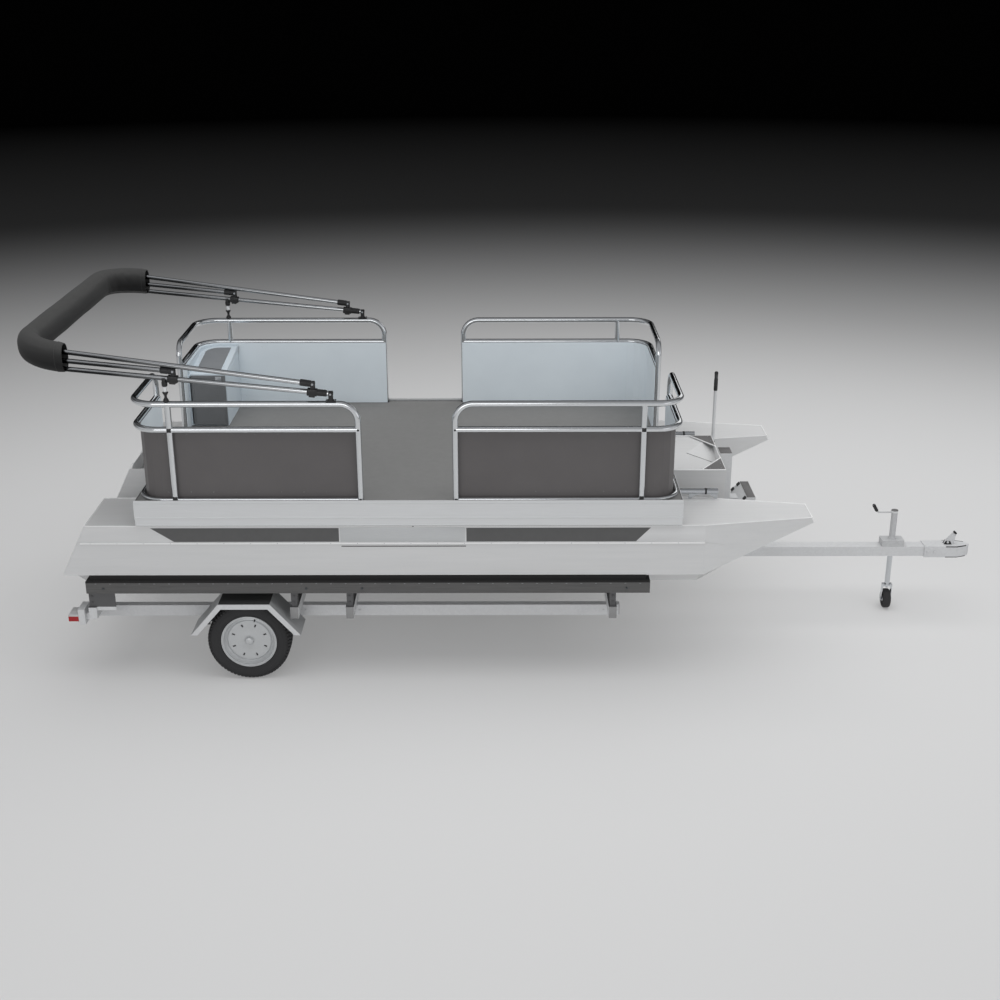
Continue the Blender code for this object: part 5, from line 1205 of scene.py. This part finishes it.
eyes, slides, pins = bmesh.new(), bmesh.new(), []
for name, x, z, slope in BOWS:
    down = Vector((-1, 0, slope)).normalized()
    lean = down.to_track_quat("Z", "Y").to_matrix().to_4x4()
    for _, side in SIDES:
        eye = bmesh.new()
        start = 0.022 if name == "main_bow" else 0.006
        turned(eye, Vector((0, 0, start)), 2,
               ((0, 0.0166), (0, 0.0185), (0.006, 0.0212), (0.022, 0.0222), (0.026, 0.0205), (0.030, 0.0222),
                (0.066, 0.0222), (0.074, 0.0205), (0.076, 0.0168)), 28)
        turned(eye, Vector(), 1, ((-0.0105, 0), (-0.0105, 0.0172), (0.0105, 0.0172), (0.0105, 0)), 28)
        drop_in(eyes, eye, Matrix.Translation(aboard(x, side * FENCE_W, z)) @ lean)
        if name == "main_bow":
            continue
        # The slide is a split clamp round the main bow with two jaws that hold the eye's pin.
        main_z = bow_z(MAIN_Z, MAIN_SLOPE, MAIN_X, x)
        tilt = Matrix.Rotation(math.atan(MAIN_SLOPE), 4, "Y")
        clamp = bmesh.new()
        block(clamp, (-0.034, -0.0235, -0.0225), (0.034, 0.0235, 0.0225), 0.006)
        block(clamp, (-0.020, -0.0215, -0.032), (0.020, 0.0215, -0.018), 0.004)
        drop_in(slides, clamp, Matrix.Translation(aboard(x - 0.004, side * FENCE_W, main_z)) @ tilt)
        for edge in (-1, 1):
            y = side * FENCE_W + edge * 0.0145
            block(slides, aboard(x - 0.015, y - 0.0035, main_z + 0.012),
                  aboard(x + 0.015, y + 0.0035, z + 0.016), 0.0025)
        for edge in (-1, 1):
            pins.append((aboard(x, side * FENCE_W + edge * 0.0178, z), OUTWARD[edge]))
piece("bow_end_eyes", eyes, nylon, "black_plastic", body="bimini")
piece("bow_slides", slides, nylon, "black_plastic", body="bimini")
dotted("bow_slide_pins", bolts, pins, bright_zinc, "galvanised_steel", radius=0.005, tall=0.004,
       body="bimini")
hinge_pins = [(aboard(MAIN_X, side * FENCE_W + edge * 0.0222, MAIN_Z), OUTWARD[edge])
              for _, side in SIDES for edge in (-1, 1)]
hinge_pins += [(aboard(MAIN_X + x, side * FENCE_W, MAIN_Z - 0.0438), UP)
               for _, side in SIDES for x in (-0.025, 0.025)]
dotted("deck_hinge_bolts", bolts, hinge_pins, bright_zinc, "galvanised_steel", radius=0.0045, tall=0.004)

# Bimini props
# A moulded hourglass foot on the top rail, a white nylon spacer, and a forked black cup that the main bow
# lies in.

# Nylon without a dye is milky white and half gloss.
spacer_white = clouded("white_nylon_spacer", 0.004, "#dfe1e3", "#eceef0", (0.34, 0.48), 0.03)
PROP_X, RAIL_CREST = -1.555, 0.7013
for name, side in SIDES:
    spot = aboard(PROP_X, side * FENCE_W, RAIL_CREST)
    foot, spacer = bmesh.new(), bmesh.new()
    turned(foot, spot, 2,
           ((0, 0), (0, 0.0195), (0.006, 0.0192), (0.012, 0.0165), (0.022, 0.0098), (0.030, 0.0080),
            (0.040, 0.0092), (0.052, 0.0165), (0.058, 0.0192), (0.0615, 0.0190), (0.0635, 0.0135),
            (0.0635, 0)), 32)
    turned(foot, spot, 2,
           ((0.0995, 0), (0.0995, 0.0145), (0.102, 0.0175), (0.110, 0.0190), (0.128, 0.0188),
            (0.1335, 0.0165), (0.1345, 0)), 32)
    # Horns of the cup on both sides of the tube.
    for edge in (-1, 1):
        y = side * FENCE_W + edge * 0.0192
        block(foot, aboard(PROP_X - 0.012, y - 0.002, 0.826), aboard(PROP_X + 0.012, y + 0.002, 0.862),
              0.0018)
    piece("bimini_prop_cup_" + name, foot, nylon, "black_plastic", ("bimini_prop_" + name,))
    turned(spacer, spot, 2,
           ((0.0638, 0), (0.0638, 0.0112), (0.0655, 0.0118), (0.0975, 0.0118), (0.0992, 0.0112),
            (0.0992, 0)), 28)
    piece("bimini_prop_spacer_" + name, spacer, spacer_white, "trim_aluminium")

# Canopy in its boot
# The folded canopy in its zipped sleeve of acrylic canvas, sewn flat and drawn over the bows: a full round
# section that puckers round the inside of each bend and is gathered by a hem at each mouth.

# Woven acrylic has no gloss, and a faint bloom where it turns away.
canvas, tree, shader = finish_of("acrylic_boot_canvas", "#303030", 0.95, Sheen_Weight=0.05)
space = pattern_space(tree)
cloth = mottle(tree, shader, space, 0.06, "#393939", "#464645", (0.88, 0.98))
# Painted shade: the boot darkens to near black towards its underside.
boot_underside_shade = ramp(tree, own(tree, "Normal", "Z"), 0.6, -0.15)
tree.links.new(colour_mix(tree, boot_underside_shade, cloth, "#141414"), shader.inputs["Base Color"])
# Threads of the weave, drawn 6 mm apart so that they show.
warp, weft = [ribs(tree, space, 0.00592, way, 0.6) for way in ("DIAGONAL", "Z")]
emboss(tree, shader, maths(tree, "MAXIMUM", warp, weft), 0.4, 0.0006)
BOOT_MOUTH_X, BOOT_HALF_WIDE, BOOT_HALF_TALL, BEND = -2.18, 0.0755, 0.0975, 0.3


def boot_middle(x):
    """Height of the boot's middle, a little above the middle of the bows inside it."""
    heights = [bow_z(z, slope, from_x, x) for _, from_x, z, slope in BOWS]
    return (min(heights) + max(heights)) / 2 + 0.02


def boot_path(step):
    """Places along the boot's middle from starboard mouth to port mouth, with the way out of each bend."""
    straight = abs(BOW_RUN_X + BEND - BOOT_MOUTH_X)
    around = BEND * math.pi / 2
    across = 2 * (FENCE_W - BEND)
    total = 2 * straight + 2 * around + across
    count = round(total / step)
    for i in range(count + 1):
        s = total * i / count
        mirror = s > total / 2
        t = total - s if mirror else s
        if t < straight:
            x, y, heading = BOOT_MOUTH_X - t, -FENCE_W, 0
        elif t < straight + around:
            heading = (t - straight) / BEND
            x = BOW_RUN_X + BEND - BEND * math.sin(heading)
            y = -FENCE_W + BEND - BEND * math.cos(heading)
        else:
            x, y, heading = BOW_RUN_X, -FENCE_W + BEND + (t - straight - around), math.pi / 2
        outward = Vector((-math.sin(heading), -math.cos(heading), 0))
        if mirror:
            y, outward.y = -y, -outward.y
        pucker = math.sin(2 * heading) if 0 < heading < math.pi / 2 else 0
        yield s, total, Vector((x, y, boot_middle(x))), outward, pucker


BOOT_SIDES, BOOT_STEP = 72, 0.012
ZIP_TURN, SQUARENESS = math.radians(236), 0.85
skin, middles = [], []
for s, total, middle, outward, pucker in boot_path(BOOT_STEP):
    from_mouth = min(s, total - s)
    ring = []
    for k in range(BOOT_SIDES):
        turn = math.tau * k / BOOT_SIDES
        c, d = math.cos(turn), math.sin(turn)
        wide = math.copysign(abs(c) ** SQUARENESS, c) * BOOT_HALF_WIDE
        tall = math.copysign(abs(d) ** SQUARENESS, d) * BOOT_HALF_TALL
        sample = Vector((s * 2.2, c * 0.9, d * 0.9))
        swell = 0.985 - 0.05 * math.exp(-from_mouth / 0.02)
        swell += 0.030 * noise.noise(sample) + 0.012 * noise.noise(sample * 3.1)
        # Folds across the inside of the bend, and a slack line where the zip pulls in.
        swell += 0.018 * math.sin(s * 70 + 6.0 * noise.noise(sample * 1.7)) * max(0, -c) ** 1.5 * pucker
        swell -= 0.035 * math.exp(-((turn - ZIP_TURN) / 0.10) ** 2)
        swell = min(swell, 1.0)
        ring.append(aboard(*middle) + outward * wide * swell + Vector((0, 0, tall * swell)))
    skin.append(ring)
    middles.append(aboard(*middle))
boot = bmesh.new()
rings = [[boot.verts.new(place) for place in ring] for ring in skin]
for a, b in zip(rings, rings[1:]):
    for k in range(BOOT_SIDES):
        j = (k + 1) % BOOT_SIDES
        boot.faces.new((a[k], b[k], b[j], a[j]))
# Each mouth turns in over its hem and runs back to the folded canopy, 60 mm inside.
for ring, middle in ((rings[0], middles[0]), (rings[-1], middles[-1])):
    last = ring
    for back, share in ((-0.0035, 0.985), (-0.0035, 0.945), (0.004, 0.92), (0.06, 0.90)):
        fresh = [boot.verts.new(middle + (v.co - middle) * share - Vector((back, 0, 0))) for v in ring]
        for k in range(BOOT_SIDES):
            j = (k + 1) % BOOT_SIDES
            boot.faces.new((last[k], last[j], fresh[j], fresh[k]))
        last = fresh
    boot.faces.new(last)
bmesh.ops.recalc_face_normals(boot, faces=boot.faces)
sleeve = piece("canopy_boot_sleeve", boot, canvas, "boot_cloth", ("canopy_boot",), 60, body="bimini")


# Hems are a doubled band with a row of stitches on it. The zip's tape and teeth run along the inner lower
# side.


def off_skin(row, k, proud):
    """A place standing a little proud of the sleeve."""
    here = skin[row][k % BOOT_SIDES]
    return here + (here - middles[row]).normalized() * proud


def band(shape, rows, ks, proud, closed):
    """A strip of cloth laid on the sleeve over a patch of its rows and columns, with turned-under edges."""
    sheets = []
    for lift in (-0.001, proud):
        sheets.append([[shape.verts.new(off_skin(row, k, lift)) for k in ks] for row in rows])
    under, over = sheets
    faces = []
    span = len(ks) if closed else len(ks) - 1
    for i in range(len(rows) - 1):
        for k in range(span):
            j = (k + 1) % len(ks)
            faces.append(shape.faces.new((over[i][k], over[i + 1][k], over[i + 1][j], over[i][j])))
            faces.append(shape.faces.new((under[i][k], under[i][j], under[i + 1][j], under[i + 1][k])))
    for i in (0, len(rows) - 1):
        for k in range(span):
            j = (k + 1) % len(ks)
            faces.append(shape.faces.new((over[i][k], over[i][j], under[i][j], under[i][k])))
    if not closed:
        for k in (0, len(ks) - 1):
            for i in range(len(rows) - 1):
                faces.append(shape.faces.new((over[i][k], under[i][k], under[i + 1][k], over[i + 1][k])))
    bmesh.ops.recalc_face_normals(shape, faces=faces)


last_row = len(skin) - 1
hems, tape = bmesh.new(), bmesh.new()
for rows in (range(0, 4), range(last_row - 3, last_row + 1)):
    band(hems, list(rows), list(range(BOOT_SIDES)), 0.0012, True)
zip_k = round(ZIP_TURN / math.tau * BOOT_SIDES)
band(tape, list(range(0, last_row + 1)), [zip_k - 2, zip_k - 1, zip_k, zip_k + 1, zip_k + 2], 0.0014, False)
piece("canopy_boot_hems", hems, canvas, "boot_cloth", (), 60, body="bimini")
# Tape is paler and flatter than the canvas it is sewn to.
tape_grey = clouded("woven_zip_tape", 0.003, "#444444", "#505050", (0.75, 0.88), 0.2)
piece("canopy_boot_zip_tape", tape, tape_grey, "boot_cloth", (), 60, body="bimini")


def laid(place, along, outward):
    """A point whose item has its X along one way and its Z outwards."""
    third = outward.cross(along).normalized()
    turn = Matrix((along.normalized(), third, along.cross(third).normalized())).transposed()
    return place, turn.to_euler()


stitches = placed_tree("stitches", brick, x=0.006, y=0.0014, z=0.0014)
# Thread shows as pale dots along the seams.
thread = clouded("polyester_thread", 0.002, "#464646", "#585858", (0.75, 0.85), 0.1)
points = []
for row in (3, last_row - 3):
    for k in range(BOOT_SIDES):
        place, ahead = off_skin(row, k, 0.0014), off_skin(row, k + 1, 0.0014)
        points.append(laid((place + ahead) / 2, ahead - place, place - middles[row]))
for row in range(last_row):
    for k in (zip_k - 2, zip_k + 2):
        place, ahead = off_skin(row, k, 0.0016), off_skin(row + 1, k, 0.0016)
        points.append(laid((place + ahead) / 2, ahead - place, place - middles[row]))
dotted("canopy_boot_stitches", stitches, points, thread, "boot_cloth", body="bimini")
points = []
for row in range(last_row):
    for part in range(3):
        place, ahead = off_skin(row, zip_k, 0.0020), off_skin(row + 1, zip_k, 0.0020)
        across = off_skin(row, zip_k + 1, 0.0020) - place
        points.append(laid(place.lerp(ahead, (part + 0.5) / 3), across, place - middles[row]))
dotted("canopy_boot_zip_teeth", stitches, points, moulded_black, "black_plastic", x=0.005, y=0.0018,
       z=0.0018, body="bimini")
